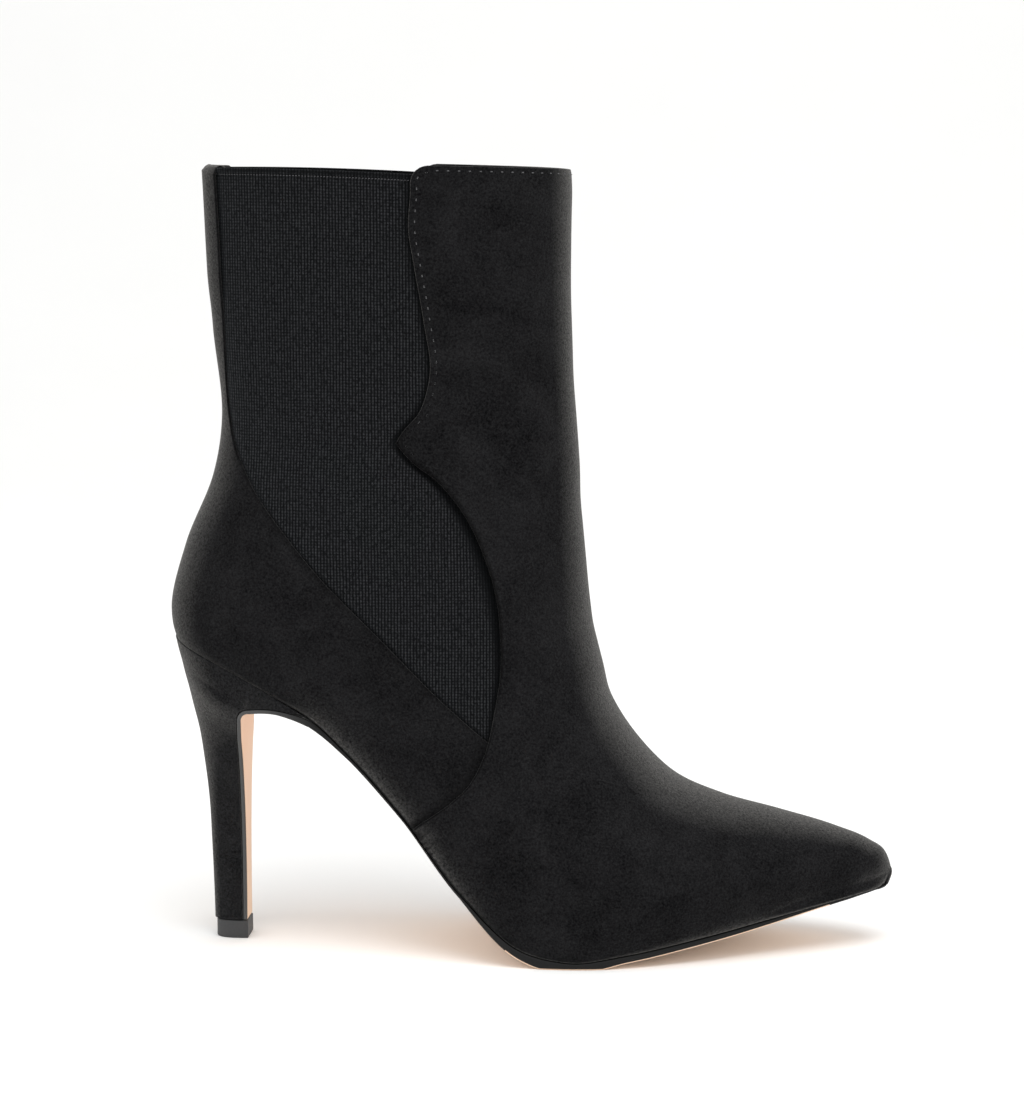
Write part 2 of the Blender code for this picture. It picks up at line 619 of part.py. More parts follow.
def make_top_lift(boot):
    """The tip: straight front, rounded back, standing flat on the floor."""
    depth = TOP_LIFT_FRONT - TOP_LIFT_BACK
    turn = np.linspace(-math.pi / 2, math.pi / 2, HEEL_ARC_STEPS + 1)
    arc = HEEL[-1][-1] * depth
    x = TOP_LIFT_BACK + arc * (1 - np.cos(turn) ** (2 / HEEL_ROUND))
    y = TOP_LIFT_HALF * np.sign(np.sin(turn)) * np.abs(np.sin(turn)) ** (2 / HEEL_ROUND)
    x = np.concatenate([[TOP_LIFT_FRONT], x, [TOP_LIFT_FRONT]])
    y = np.concatenate([[-TOP_LIFT_HALF], y, [TOP_LIFT_HALF]])
    rings = [np.stack([x, y, np.full_like(x, height)], axis=1) for height in (0.0, TOP_LIFT_HEIGHT)]
    lift = boot.part("top_lift", loft("top_lift", swing(np.stack(rings))), "lift_rubber")
    bevel = lift.modifiers.new("rounded_edge", "BEVEL")
    bevel.width = TOP_LIFT_BEVEL * MM
    bevel.segments = 2
    bevel.limit_method = "ANGLE"
    bevel.angle_limit = CORNER_ANGLE
    return lift


def stand_on_origin(boot, parts):
    """Move the whole boot so that the middle of its box stands on the origin."""
    bpy.context.view_layer.update()
    depsgraph = bpy.context.evaluated_depsgraph_get()
    corners = []
    for part in parts:
        mesh = part.evaluated_get(depsgraph).to_mesh()
        points = np.empty(len(mesh.vertices) * 3)
        mesh.vertices.foreach_get("co", points)
        corners.append(points.reshape(-1, 3))
    points = np.concatenate(corners)
    low = points.min(axis=0)
    high = points.max(axis=0)
    boot.empty.location = (-(low[0] + high[0]) / 2, -(low[1] + high[1]) / 2, -low[2])
    bpy.context.view_layer.update()


def main():
    for old in list(bpy.data.objects):
        bpy.data.objects.remove(old, do_unlink=True)
    boot = Boot()
    hollow = boot.cutter("hollow", hollow_form())
    parts = [make_upper(boot, hollow)]
    parts += make_gores(boot, hollow)
    parts += [make_insole(boot), make_outsole(boot), make_heel(boot), make_top_lift(boot)]
    stand_on_origin(boot, parts)


if __name__ == "__main__":
    main()
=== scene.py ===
"""Looks of a pull-on ankle boot in black microsuede, with elastic sides and a covered stiletto heel.

The upper's panels, linings and sole are surfaces on one form, the last. The last is a fan of sections,
each in a plane that holds the width of the shoe. A place counts along the fan from the toe, and a ring
runs round a section: 0 on the ridge, 1 on the edge of the base and 2 on the middle of the base, with the
lateral side negative.
"""
import math

import bmesh
import bpy
import numpy as np
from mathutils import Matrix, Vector


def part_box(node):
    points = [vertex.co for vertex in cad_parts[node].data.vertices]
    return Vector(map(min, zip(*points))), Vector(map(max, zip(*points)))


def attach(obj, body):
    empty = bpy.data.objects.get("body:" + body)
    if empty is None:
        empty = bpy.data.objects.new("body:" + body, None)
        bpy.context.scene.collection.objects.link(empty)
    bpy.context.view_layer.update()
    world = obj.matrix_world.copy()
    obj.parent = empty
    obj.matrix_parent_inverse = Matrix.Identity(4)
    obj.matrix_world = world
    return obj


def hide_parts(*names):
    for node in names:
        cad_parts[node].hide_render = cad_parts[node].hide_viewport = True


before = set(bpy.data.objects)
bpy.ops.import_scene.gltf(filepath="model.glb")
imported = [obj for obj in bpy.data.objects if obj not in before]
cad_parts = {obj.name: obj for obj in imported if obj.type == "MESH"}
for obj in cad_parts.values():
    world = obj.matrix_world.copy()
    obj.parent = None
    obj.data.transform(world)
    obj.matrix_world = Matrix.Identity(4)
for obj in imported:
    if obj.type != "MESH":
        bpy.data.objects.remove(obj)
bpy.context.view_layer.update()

bl_info = {
    "name": "Ankle boot looks",
    "version": (1, 0, 0),
    "blender": (4, 5, 0),
    "location": "3D View > Sidebar > Boot",
    "description": "Makes the visible pieces of an ankle boot and a plain studio round them",
    "category": "Object",
}

MM = 0.001

# Driving dimensions of the last, in metres
LENGTH = 233.5 * MM
BALL_WIDTH = 77.0 * MM
HEEL_HEIGHT = 98.0 * MM
COLLAR_HEIGHT = 250.0 * MM
LATERAL_LEAN = 0.05

# Where the last's heel point stands in the frame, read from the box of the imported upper
UPPER_LOW, UPPER_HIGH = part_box("upper")
LAST_PLACE = np.array([UPPER_HIGH.x - LENGTH,
                       (UPPER_LOW.y + UPPER_HIGH.y) / 2 + LATERAL_LEAN * BALL_WIDTH, 0.0])

# Sections of the last from the toe to just above the collar. ridge_x and base_x are percent of LENGTH,
# ridge_z of COLLAR_HEIGHT, base_z of HEEL_HEIGHT, the four half-widths of BALL_WIDTH and level, the
# widest place, of the way from ridge to base. crown and tuck are exponents of the curve above and below.
SECTION_COLUMNS = ("ridge_x", "ridge_z", "base_x", "base_z", "wide_lateral", "wide_medial",
                   "base_lateral", "base_medial", "level", "crown", "tuck")
SECTION_UNITS = (LENGTH, COLLAR_HEIGHT, LENGTH, HEEL_HEIGHT, BALL_WIDTH, BALL_WIDTH,
                 BALL_WIDTH, BALL_WIDTH, 1.0, 100.0, 100.0)
SECTIONS = (
    ("toe_tip", 100.0, 9.9, 99.3, 21.6, 2.6, 2.6, 2.1, 2.1, 55, 2.0, 2.0),
    ("toe_front", 99.2, 11.9, 98.1, 20.5, 7.3, 7.1, 6.0, 5.7, 60, 2.0, 2.0),
    ("toe_round", 97.0, 13.4, 95.3, 19.3, 13.5, 13.0, 11.4, 11.0, 62, 2.0, 2.0),
    ("toe_box", 92.2, 15.2, 90.1, 17.0, 21.0, 19.9, 18.2, 16.9, 64, 2.0, 2.0),
    ("toe_joint", 84.5, 17.3, 81.8, 12.1, 32.5, 29.2, 29.1, 25.5, 66, 1.95, 2.0),
    ("ball_front", 76.3, 19.4, 72.4, 7.9, 44.2, 37.1, 40.5, 33.0, 68, 1.9, 2.0),
    ("ball", 69.5, 22.4, 63.0, 4.3, 52.5, 42.9, 49.6, 38.7, 70, 1.85, 2.0),
    ("tread", 64.6, 27.1, 55.2, 2.3, 55.0, 45.0, 52.2, 40.8, 72, 1.85, 2.0),
    ("tread_back", 61.7, 31.1, 48.4, 6.2, 53.2, 43.6, 49.9, 38.4, 72, 1.85, 2.0),
    ("waist_low", 59.7, 36.9, 40.7, 24.3, 47.5, 39.7, 44.2, 33.0, 70, 1.85, 2.0),
    ("waist", 58.2, 43.3, 32.5, 49.5, 43.1, 37.9, 38.4, 28.6, 66, 1.9, 2.0),
    ("waist_high", 57.3, 50.9, 22.3, 74.7, 40.3, 37.9, 33.8, 27.0, 62, 2.0, 2.1),
    ("seat_front", 56.7, 57.7, 11.6, 90.0, 39.6, 39.1, 31.8, 30.8, 60, 2.1, 2.2),
    ("seat_back", 56.4, 63.3, 2.0, 99.6, 38.8, 38.6, 14.6, 14.6, 58, 2.15, 2.3),
    ("cup", 56.0, 68.4, -0.2, 110.3, 37.9, 37.7, 5.8, 5.8, 56, 2.2, 2.25),
    ("cup_top", 55.6, 73.2, 1.8, 132.8, 35.2, 34.9, 4.8, 4.8, 54, 2.2, 2.1),
    ("ankle", 55.4, 78.4, 5.7, 155.7, 33.4, 33.1, 4.6, 4.6, 52, 2.2, 2.0),
    ("ankle_top", 55.2, 84.0, 7.0, 174.6, 32.8, 32.6, 4.6, 4.6, 50, 2.2, 2.0),
    ("shaft", 55.2, 90.4, 5.9, 204.2, 33.0, 32.8, 4.6, 4.6, 48, 2.2, 2.0),
    ("collar", 55.4, 100.0, 4.9, 255.1, 33.8, 33.5, 4.6, 4.6, 46, 2.2, 2.0),
    ("brim", 55.5, 103.6, 4.7, 264.3, 34.0, 33.7, 4.6, 4.6, 46, 2.2, 2.0),
)
ROW_OF = {row[0]: index for index, row in enumerate(SECTIONS)}
CROWN_END = 0.5
SEARCH_STEPS = 800

# Side view of the panel lines: x in percent of LENGTH, z in percent of COLLAR_HEIGHT
FRONT_EDGE_UPPER = ((37.0, 100.6), (35.6, 100.45), (34.8, 100.05), (34.15, 99.2), (34.0, 97.2),
                    (33.7, 92.8), (34.4, 88.4), (35.7, 81.2), (36.5, 74.8), (36.1, 72.6), (34.9, 69.7),
                    (33.0, 67.7), (31.9, 66.1))
FRONT_EDGE_LOWER = ((31.9, 66.1), (34.2, 63.6), (37.2, 61.5), (39.6, 59.0), (42.0, 55.5), (43.7, 51.8),
                    (45.1, 47.6), (45.9, 42.2), (46.0, 37.4), (45.3, 32.7), (43.7, 26.5), (41.7, 23.0),
                    (39.1, 20.6), (37.0, 19.1), (30.8, 15.6))
COUNTER_SEAM = ((6.9, 101.6), (7.6, 88.0), (7.8, 78.9), (8.4, 68.7), (9.1, 65.5), (11.3, 61.0),
                (17.4, 53.5), (30.3, 40.9), (37.5, 34.1), (43.9, 28.9))
COUNTER_LAP = ((43.9, 28.9), (45.6, 27.2), (44.0, 22.8), (41.3, 19.4), (38.8, 16.8), (36.0, 14.4))
STRIP_TOP = 252.0 * MM
GORE_TOP_BACK = 250.7 * MM
GORE_TOP_FRONT = 248.7 * MM

# Layers of the upper, in metres inwards from the face of the front panel
COUNTER_FACE = 0.7 * MM
GORE_FACE = 0.9 * MM
LINING_FACE = 2.2 * MM
LINING_BACK = 2.6 * MM
LINING_FLOOR = 1.0 * MM
SOCK_TOP = 2.0 * MM
SOCK_BOTTOM = 1.45 * MM
SOCK_INSET = 2.7 * MM

# Outsole. In its rows, in millimetres, edge is how far it stands past the upper's bottom edge.
SOLE_GAP = 0.3 * MM
OUTSOLE_TOE = 0.9
NOSE_PLACES = 0.3
NOSE_LENGTH = 4.0 * MM
NOSE_THIN = 0.7
BARE_BEVEL = (112.0 * MM, 213.0 * MM)
# Stretch of the sole's edge over which the paint's painted sheen of grey fades out, full and none
PAINT_SHEEN_REACH = (28.0 * MM, 48.0 * MM)
OUTSOLE_COLUMNS = ("x", "edge", "thickness")
OUTSOLE = (
    ("breast", 22.0, 0.0, 1.3),
    ("wing", 36.0, 0.0, 1.3),
    ("arch", 47.0, 0.0, 2.2),
    ("arch_middle", 54.0, 0.3, 1.4),
    ("arch_front", 60.0, 0.7, 0.9),
    ("waist", 78.0, 0.8, 0.5),
    ("waist_low", 95.0, 0.8, 0.8),
    ("tread_back", 112.0, 0.6, 2.4),
    ("tread", 121.0, 0.6, 3.3),
    ("tread_front", 138.0, 0.6, 2.8),
    ("ball", 147.0, 0.6, 2.2),
    ("ball_front", 169.0, 0.5, 2.0),
    ("toe_joint", 190.0, 0.3, 1.7),
    ("toe_box", 210.0, -0.6, 1.2),
    ("toe", 230.0, -1.9, 0.8),
)
OUTSOLE_BEVEL = 0.4 * MM
ARCH_END = ROW_OF["waist_high"] + 0.2
WING_LINE = ((40.0, 78.5), (33.0, 79.5))
WING_FADE = 72.0 * MM
BREAST_X = 22.4 * MM
TURN_RADIUS = 4.3 * MM
TURN_TOP = 79.0 * MM
FLAP_BOTTOM = 6.4 * MM

# Rings of the heel, seat to tip: x in percent of LENGTH, z in percent of HEEL_HEIGHT, half-width in
# percent of BALL_WIDTH. arc is the share of the ring, from its back, that is rounded.
HEEL_COLUMNS = ("back_x", "back_z", "front_x", "front_z", "half", "arc")
HEEL_UNITS = (LENGTH, HEEL_HEIGHT, LENGTH, HEEL_HEIGHT, BALL_WIDTH, 100.0)
HEEL = (
    ("above_seat", -0.1, 107.0, 22.5, 79.0, 34.0, 0.52),
    ("seat", 0.3, 101.5, 21.0, 75.5, 32.5, 0.54),
    ("under_seat", 1.1, 94.6, 18.0, 72.5, 28.6, 0.58),
    ("flare", 2.0, 86.7, 14.5, 70.0, 23.3, 0.64),
    ("neck", 2.7, 79.0, 12.5, 66.5, 18.2, 0.68),
    ("neck_low", 3.5, 71.0, 11.6, 61.5, 14.5, 0.70),
    ("stem_top", 4.1, 61.0, 11.4, 55.0, 11.8, 0.72),
    ("stem", 4.7, 47.5, 11.4, 44.0, 9.0, 0.74),
    ("stem_low", 5.0, 31.5, 11.4, 30.5, 7.3, 0.74),
    ("ankle_of_tip", 5.2, 17.5, 11.4, 17.5, 6.8, 0.74),
    ("tip", 5.3, 6.43, 11.4, 6.43, 7.1, 0.74),
)
HEEL_ROUND = 2.2
HEEL_SWING = math.radians(2.3)
SWING_HEIGHTS = (66.0 * MM, 77.0 * MM)
SWING_REACH = (30.0 * MM, 46.0 * MM)
HEEL_ARC_SHARE = 0.7
TOP_LIFT_HEIGHT = 6.0 * MM
TOP_LIFT_BACK = 13.0 * MM
TOP_LIFT_FRONT = 23.9 * MM
TOP_LIFT_HALF = 5.2 * MM

# How far the upper's lower edge hangs below the last, where along the boot it does so and how high above
# the edge it fades: at the toe, and along the waist, where the upper laps the thin side of the sole
TOE_DROP = 1.2 * MM
TOE_DROP_REACH = (213.0 * MM, 188.0 * MM)
TOE_DROP_HEIGHTS = (0.3 * MM, 2.6 * MM)
WAIST_DROP = 1.0 * MM
WAIST_DROP_BACK = (60.0 * MM, 44.0 * MM)
WAIST_DROP_FRONT = (92.0 * MM, 110.0 * MM)
WAIST_DROP_HEIGHTS = (0.3 * MM, 5.0 * MM)

# Soft troughs of wear in the suede, side view: middle in millimetres, half-length, half-width,
# slope of the trough in degrees and depth in millimetres
CREASES = (
    ("instep_upper", 127.0, 100.0, 17.0, 4.5, 28.0, 0.40),
    ("instep_lower", 139.0, 83.0, 19.0, 5.0, 24.0, 0.45),
    ("vamp_side", 132.0, 52.0, 22.0, 8.0, 38.0, 0.35),
    ("shaft_front", 118.0, 142.0, 24.0, 7.0, 12.0, 0.35),
    ("counter_hollow", 38.0, 116.0, 20.0, 8.0, -42.0, 0.40),
)

# Ridge height of the front panel's rows for each height of its rear edge, and place on the middle of the
# back and seat of the counter's rows for each height of its seam, in millimetres and places
FRONT_ROW_ENDS = ((40.0, 84.0), (73.0, 108.0), (94.0, 125.0), (130.0, 158.0), (165.0, 188.0),
                  (205.0, 216.0), (243.0, 244.0), (252.0, 250.0))
COUNTER_ROW_ENDS = ((36.0, 9.45), (50.0, 9.8), (73.0, 10.3), (93.0, 11.7), (113.0, 13.0), (134.0, 14.5),
                    (164.0, 15.9), (197.0, 17.5), (252.0, 19.2))


def linear(code):
    """An sRGB hex colour as linear red, green and blue."""
    parts = [int(code[start:start + 2], 16) / 255 for start in (0, 2, 4)]
    return tuple(part / 12.92 if part <= 0.04045 else ((part + 0.055) / 1.055) ** 2.4 for part in parts)


# Numbers

def read_table(rows, units):
    """A table in percent, without its row names, as an array in the columns' units."""
    values = np.array([row[1:] for row in rows], float)
    return values * np.array(units) / 100


def smooth(knots, values, places):
    """Cubic through uneven knots, with the slope at each knot from its two neighbours."""
    gaps = np.diff(knots)[:, None]
    rises = np.diff(values, axis=0) / gaps
    slopes = np.empty_like(values)
    slopes[1:-1] = (rises[:-1] * gaps[1:] + rises[1:] * gaps[:-1]) / (gaps[1:] + gaps[:-1])
    slopes[0] = 2 * rises[0] - slopes[1]
    slopes[-1] = 2 * rises[-1] - slopes[-2]
    start = np.clip(np.searchsorted(knots, places, side="right") - 1, 0, len(knots) - 2)
    gap = gaps[start]
    share = (np.asarray(places, float) - knots[start])[:, None] / gap
    return ((2 * share**3 - 3 * share**2 + 1) * values[start]
            + (share**3 - 2 * share**2 + share) * gap * slopes[start]
            + (3 * share**2 - 2 * share**3) * values[start + 1]
            + (share**3 - share**2) * gap * slopes[start + 1])


def chord_knots(points):
    """Running length along the straight chords through points."""
    return np.concatenate([[0.0], np.cumsum(np.linalg.norm(np.diff(points, axis=0), axis=1))])


def smooth_line(points, steps):
    """A smooth line through given points, with `steps` pieces between each two."""
    points = np.asarray(points, float)
    knots = chord_knots(points)
    count = (len(points) - 1) * steps + 1
    places = np.interp(np.linspace(0, len(points) - 1, count), np.arange(len(points)), knots)
    return smooth(knots, points, places)


def even_line(line, spacing):
    """A line in evenly spaced points about `spacing` apart."""
    knots = chord_knots(line)
    count = max(2, int(round(knots[-1] / spacing)) + 1)
    wanted = np.linspace(0, knots[-1], count)
    return np.stack([np.interp(wanted, knots, line[:, axis]) for axis in range(line.shape[1])], axis=1)


def ramp(values, full, none):
    """1 up to `full`, 0 from `none` on and a smooth step between."""
    share = np.clip((none - values) / (none - full), 0, 1)
    return share * share * (3 - 2 * share)


def side_points(shares):
    """Side-view points from percent of LENGTH and of COLLAR_HEIGHT to metres."""
    return np.array(shares, float) * (LENGTH / 100, COLLAR_HEIGHT / 100)


# The last

SECTION_VALUES = read_table(SECTIONS, SECTION_UNITS)
SECTION_KNOTS = chord_knots(SECTION_VALUES[:, 0:2]) + chord_knots(SECTION_VALUES[:, 2:4])


def sections(places):
    """The section table at any places, one array for each column."""
    places = np.asarray(places, float)
    knots = np.interp(places.ravel(), np.arange(len(SECTIONS)), SECTION_KNOTS)
    read = smooth(SECTION_KNOTS, SECTION_VALUES, knots)
    return {name: read[:, index].reshape(places.shape) for index, name in enumerate(SECTION_COLUMNS)}


def back_share(places):
    """0 where the base is the sole, 1 where it is the back of the shoe."""
    return np.interp(places, (ROW_OF["seat_back"], ROW_OF["cup"]), (0.0, 1.0))


def form(place, ring, depth=0.0, face=0.0):
    """Points of the last, `depth` inside its face; under the foot only what exceeds `face` moves them in.

    From the ridge a quarter superellipse opens to the widest level, a second one tucks in to the base
    and the base runs straight to its middle.
    """
    place, ring, depth = np.broadcast_arrays(np.asarray(place, float), ring, depth)
    row = sections(place)
    reach = np.abs(ring)
    crown_turn = np.clip(reach / CROWN_END, 0, 1) * math.pi / 2
    tuck_turn = np.clip((reach - CROWN_END) / (1 - CROWN_END), 0, 1) * math.pi / 2
    crowned = reach < CROWN_END
    lateral = ring < 0
    level = row["level"]
    wide = np.where(lateral, row["wide_lateral"], row["wide_medial"])
    base = np.where(lateral, row["base_lateral"], row["base_medial"])
    along = np.where(crowned, level * (1 - np.cos(crown_turn) ** (2 / row["crown"])),
                     level + (1 - level) * np.sin(tuck_turn) ** (2 / row["tuck"]))
    width = np.where(crowned, (wide - depth) * np.sin(crown_turn) ** (2 / row["crown"]),
                     base - depth + (wide - base) * np.cos(tuck_turn) ** (2 / row["tuck"]))
    width = width * (1 - np.clip(reach - 1, 0, 1))
    back = back_share(place)
    shift = depth * back + (depth - face) * (1 - back)
    span_x = row["base_x"] - row["ridge_x"]
    span_z = row["base_z"] - row["ridge_z"]
    span = np.hypot(span_x, span_z)
    distance = depth + (span - depth - shift) * along
    x = row["ridge_x"] + span_x / span * distance
    z = row["ridge_z"] + span_z / span * distance
    return np.stack([x, np.where(lateral, -width, width), z], axis=-1)


def locate(points):
    """Place, ring and share of the way from ridge to base of side-view points, found on a dense fan."""
    x = points[..., 0].ravel()
    z = points[..., 1].ravel()
    dense = np.linspace(0, len(SECTIONS) - 1, SEARCH_STEPS + 1)
    row = sections(dense)
    span_x = row["base_x"] - row["ridge_x"]
    span_z = row["base_z"] - row["ridge_z"]
    from_x = x[:, None] - row["ridge_x"]
    from_z = z[:, None] - row["ridge_z"]
    cross = span_x * from_z - span_z * from_x
    along = (from_x * span_x + from_z * span_z) / (span_x**2 + span_z**2)
    passes = (cross[:, :-1] * cross[:, 1:] <= 0) & (np.abs(along[:, :-1] - 0.5) < 0.6)
    first = passes.argmax(axis=1)
    pick = np.arange(len(first))
    before = cross[pick, first]
    after = cross[pick, first + 1]
    place = dense[first] + (dense[1] - dense[0]) * before / (before - after)
    at = sections(place)
    run_x = at["base_x"] - at["ridge_x"]
    run_z = at["base_z"] - at["ridge_z"]
    share = ((x - at["ridge_x"]) * run_x + (z - at["ridge_z"]) * run_z) / (run_x**2 + run_z**2)
    level = at["level"]
    crown_turn = np.arccos(np.clip(1 - share / level, 0, 1) ** (at["crown"] / 2))
    tuck_turn = np.arcsin(np.clip((share - level) / (1 - level), 0, 1) ** (at["tuck"] / 2))
    turn = np.where(share < level, CROWN_END * crown_turn,
                    CROWN_END * math.pi / 2 + (1 - CROWN_END) * tuck_turn)
    shape = points.shape[:-1]
    return place.reshape(shape), (turn / (math.pi / 2)).reshape(shape), share.reshape(shape)


def crease_depth(points):
    """Depth of the troughs of wear at points of the last: a bell across each trough and along it."""
    depth = np.zeros(points.shape[:-1])
    for _, middle_x, middle_z, half_length, half_width, slope, deep in CREASES:
        turn = math.radians(slope)
        from_x = points[..., 0] / MM - middle_x
        from_z = points[..., 2] / MM - middle_z
        along = (from_x * math.cos(turn) + from_z * math.sin(turn)) / half_length
        across = (from_z * math.cos(turn) - from_x * math.sin(turn)) / half_width
        depth += deep * MM * np.exp(-along**2 - across**2)
    return depth


# Meshes

WELD = 0.002 * MM
SHARP_ANGLE = math.radians(50)


def grid_faces(index, flip):
    """Quads of a grid of vertex numbers."""
    corners = (index[:-1, :-1], index[:-1, 1:], index[1:, 1:], index[1:, :-1])
    faces = np.stack(corners, axis=-1).reshape(-1, 4)
    return faces[:, ::-1] if flip else faces


def shell(outer, inner, tie_columns=True):
    """Points and quads of a closed wall between two grids; the inner one ends on the outer's border."""
    rows, columns = outer.shape[:2]
    out_index = np.arange(rows * columns).reshape(rows, columns)
    in_index = out_index + rows * columns
    in_index[[0, -1], :] = out_index[[0, -1], :]
    if tie_columns:
        in_index[:, [0, -1]] = out_index[:, [0, -1]]
    points = np.concatenate([outer.reshape(-1, 3), inner.reshape(-1, 3)])
    return points, np.concatenate([grid_faces(out_index, False), grid_faces(in_index, True)])


def tube(rings):
    """Points and faces of a closed solid through rings of equal count, with a cap at each end."""
    rows, columns = rings.shape[:2]
    index = np.arange(rows * columns).reshape(rows, columns)
    index = np.concatenate([index, index[:, :1]], axis=1)
    caps = [index[0, :-1][::-1].tolist(), index[-1, :-1].tolist()]
    return rings.reshape(-1, 3), grid_faces(index, False), caps


def new_piece(name, points, quads, material, nodes=(), caps=(), uv=None, index=None, marks=None):
    """A piece of the boot: merged where points meet, faces outwards, shaded smooth, riding on the body."""
    mesh = bpy.data.meshes.new(name)
    mesh.from_pydata((points + LAST_PLACE).tolist(), [], quads.tolist() + list(caps))
    materials = material if isinstance(material, tuple) else (material,)
    for finish in materials:
        mesh.materials.append(finish)
    if index is not None:
        mesh.polygons.foreach_set("material_index", np.asarray(index, np.int32))
    if uv is not None:
        corners = np.empty(len(mesh.loops), np.int32)
        mesh.loops.foreach_get("vertex_index", corners)
        mesh.uv_layers.new(name="cloth").data.foreach_set("uv", uv[corners].ravel())
    for mark, values in (marks or {}).items():
        mesh.attributes.new(mark, "FLOAT", "POINT").data.foreach_set("value", values)
    work = bmesh.new()
    work.from_mesh(mesh)
    bmesh.ops.remove_doubles(work, verts=work.verts[:], dist=WELD)
    # Where the two walls of a rim meet, a face can be left that hangs by one side only
    flaps = {face for edge in work.edges if edge.is_boundary for face in edge.link_faces}
    bmesh.ops.delete(work, geom=list(flaps), context="FACES")
    loose = [vertex for vertex in work.verts if not vertex.link_faces]
    bmesh.ops.delete(work, geom=loose, context="VERTS")
    bmesh.ops.recalc_face_normals(work, faces=work.faces[:])
    if work.calc_volume(signed=True) < 0:
        bmesh.ops.reverse_faces(work, faces=work.faces[:])
    work.to_mesh(mesh)
    work.free()
    mesh.shade_smooth()
    mesh.set_sharp_from_angle(angle=SHARP_ANGLE)
    piece = bpy.data.objects.new(name, mesh)
    bpy.context.scene.collection.objects.link(piece)
    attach(piece, "root")
    if nodes:
        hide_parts(*nodes)


# Panels of the upper

# Height of one place above the collar
BRIM_HEIGHT = SECTION_VALUES[ROW_OF["brim"], 1] - SECTION_VALUES[ROW_OF["collar"], 1]
FOLD_TURNS = np.radians((-90, -60, -30, 0, 25, 45, 65, 90))
ROLL_TURNS = np.radians((0, 25, 50, 75, 90, 105, 130, 155, 180))
CAP_TURNS = np.radians((90, 75, 55, 35, 15))
FOLD_UNDER = 2.5 * MM
PANEL_BACK = 1.7 * MM
COLLAR_ROLL = 0.85 * MM
STRIP_ROLL = 1.5 * MM
COUNTER_FOLD = 0.3 * MM
# Share of a counter's row in which it comes down to the edge of the base
COUNTER_DOWN = 0.75
# The counter's lowest rows run almost along its border, so their fold is kept narrow
LAP_UNIT = 8.0 * MM
MARGIN = 5.0 * MM
MARGIN_MOST = 0.8
PANEL_COLUMNS = 60
LINE_STEPS = 12
LAP_STEPS = 6
EDGE_SPACING = 1.4 * MM
PLACE_STEP = 0.09
TURNED_ROWS = 4
TURNED_SPAN = 0.25
PROBE = 0.002
TOE_BULGE = 1.0 * MM
TOE_SAG = 1.6 * MM
CAP_SQUARE = 0.7
ROLL_STEP = 0.15 * MM
END_ROWS = 8


class PanelRows:
    """Rows of a panel: each runs from the panel's border to the middle of the shoe.

    A row is straight in place; its ring goes first to `mid_ring`, over `mid_share` of the row, and then to
    `far_ring`. depth is the least depth of each row, inner_drop how far its back lies down the fan and
    least_unit a floor under `unit`.
    """

    def __init__(self, place, ring, far_place, mid_ring, mid_share, far_ring):
        self.place = place
        self.ring = ring
        self.far_place = far_place
        self.mid_ring = mid_ring
        self.mid_share = mid_share
        self.far_ring = far_ring
        self.depth = np.zeros(len(place))
        self.inner_drop = np.zeros(len(place))
        self.least_unit = 0.0

    def path(self, share):
        """Place and ring of shares of the way along each row."""
        place = self.place[:, None] + (self.far_place - self.place)[:, None] * share
        first = np.clip(share / self.mid_share, 0, 1)
        then = np.clip((share - self.mid_share) / max(1 - self.mid_share, 1e-9), 0, 1)
        ring = self.ring[:, None] + (self.mid_ring - self.ring)[:, None] * first
        return place, ring + (self.far_ring - self.mid_ring)[:, None] * then

    def unit(self):
        """How far from the border, square to it, one whole share of each row would lead."""
        start = form(*self.path(np.zeros((len(self.place), 1))))[:, 0]
        probe = form(*self.path(np.full((len(self.place), 1), PROBE)))[:, 0]
        run = (probe - start) / PROBE
        along = np.gradient(start, axis=0)
        along /= np.linalg.norm(along, axis=1)[:, None] + 1e-12
        unit = np.linalg.norm(run - (run * along).sum(axis=1)[:, None] * along, axis=1)
        return np.maximum(unit, self.least_unit)[:, None]

    def add_rolled_end(self, radius):
        """Rows that carry the last row over a rounded rim of the given radius to the inside."""
        drop = (radius - radius * np.sin(ROLL_TURNS)) / BRIM_HEIGHT
        steps = np.arange(len(ROLL_TURNS))[::-1] * ROLL_STEP
        keep = self.place < self.place[-1] - drop[0]
        self.depth = np.concatenate([self.depth[keep], radius * (1 - np.cos(ROLL_TURNS))])
        self.inner_drop = np.concatenate([self.inner_drop[keep], (radius + steps) / BRIM_HEIGHT - drop])
        rim_place = self.place[-1] - drop
        rim_ring = np.interp(rim_place, self.place[-END_ROWS:], self.ring[-END_ROWS:])
        self.place = np.concatenate([self.place[keep], rim_place])
        far_place = np.minimum(self.far_place[keep], self.far_place[-1] - drop[0])
        self.far_place = np.concatenate([far_place, self.far_place[-1] - drop])
        self.ring = np.concatenate([self.ring[keep], rim_ring])
        self.mid_ring = np.concatenate([self.mid_ring[keep], np.full(len(drop), self.mid_ring[-1])])


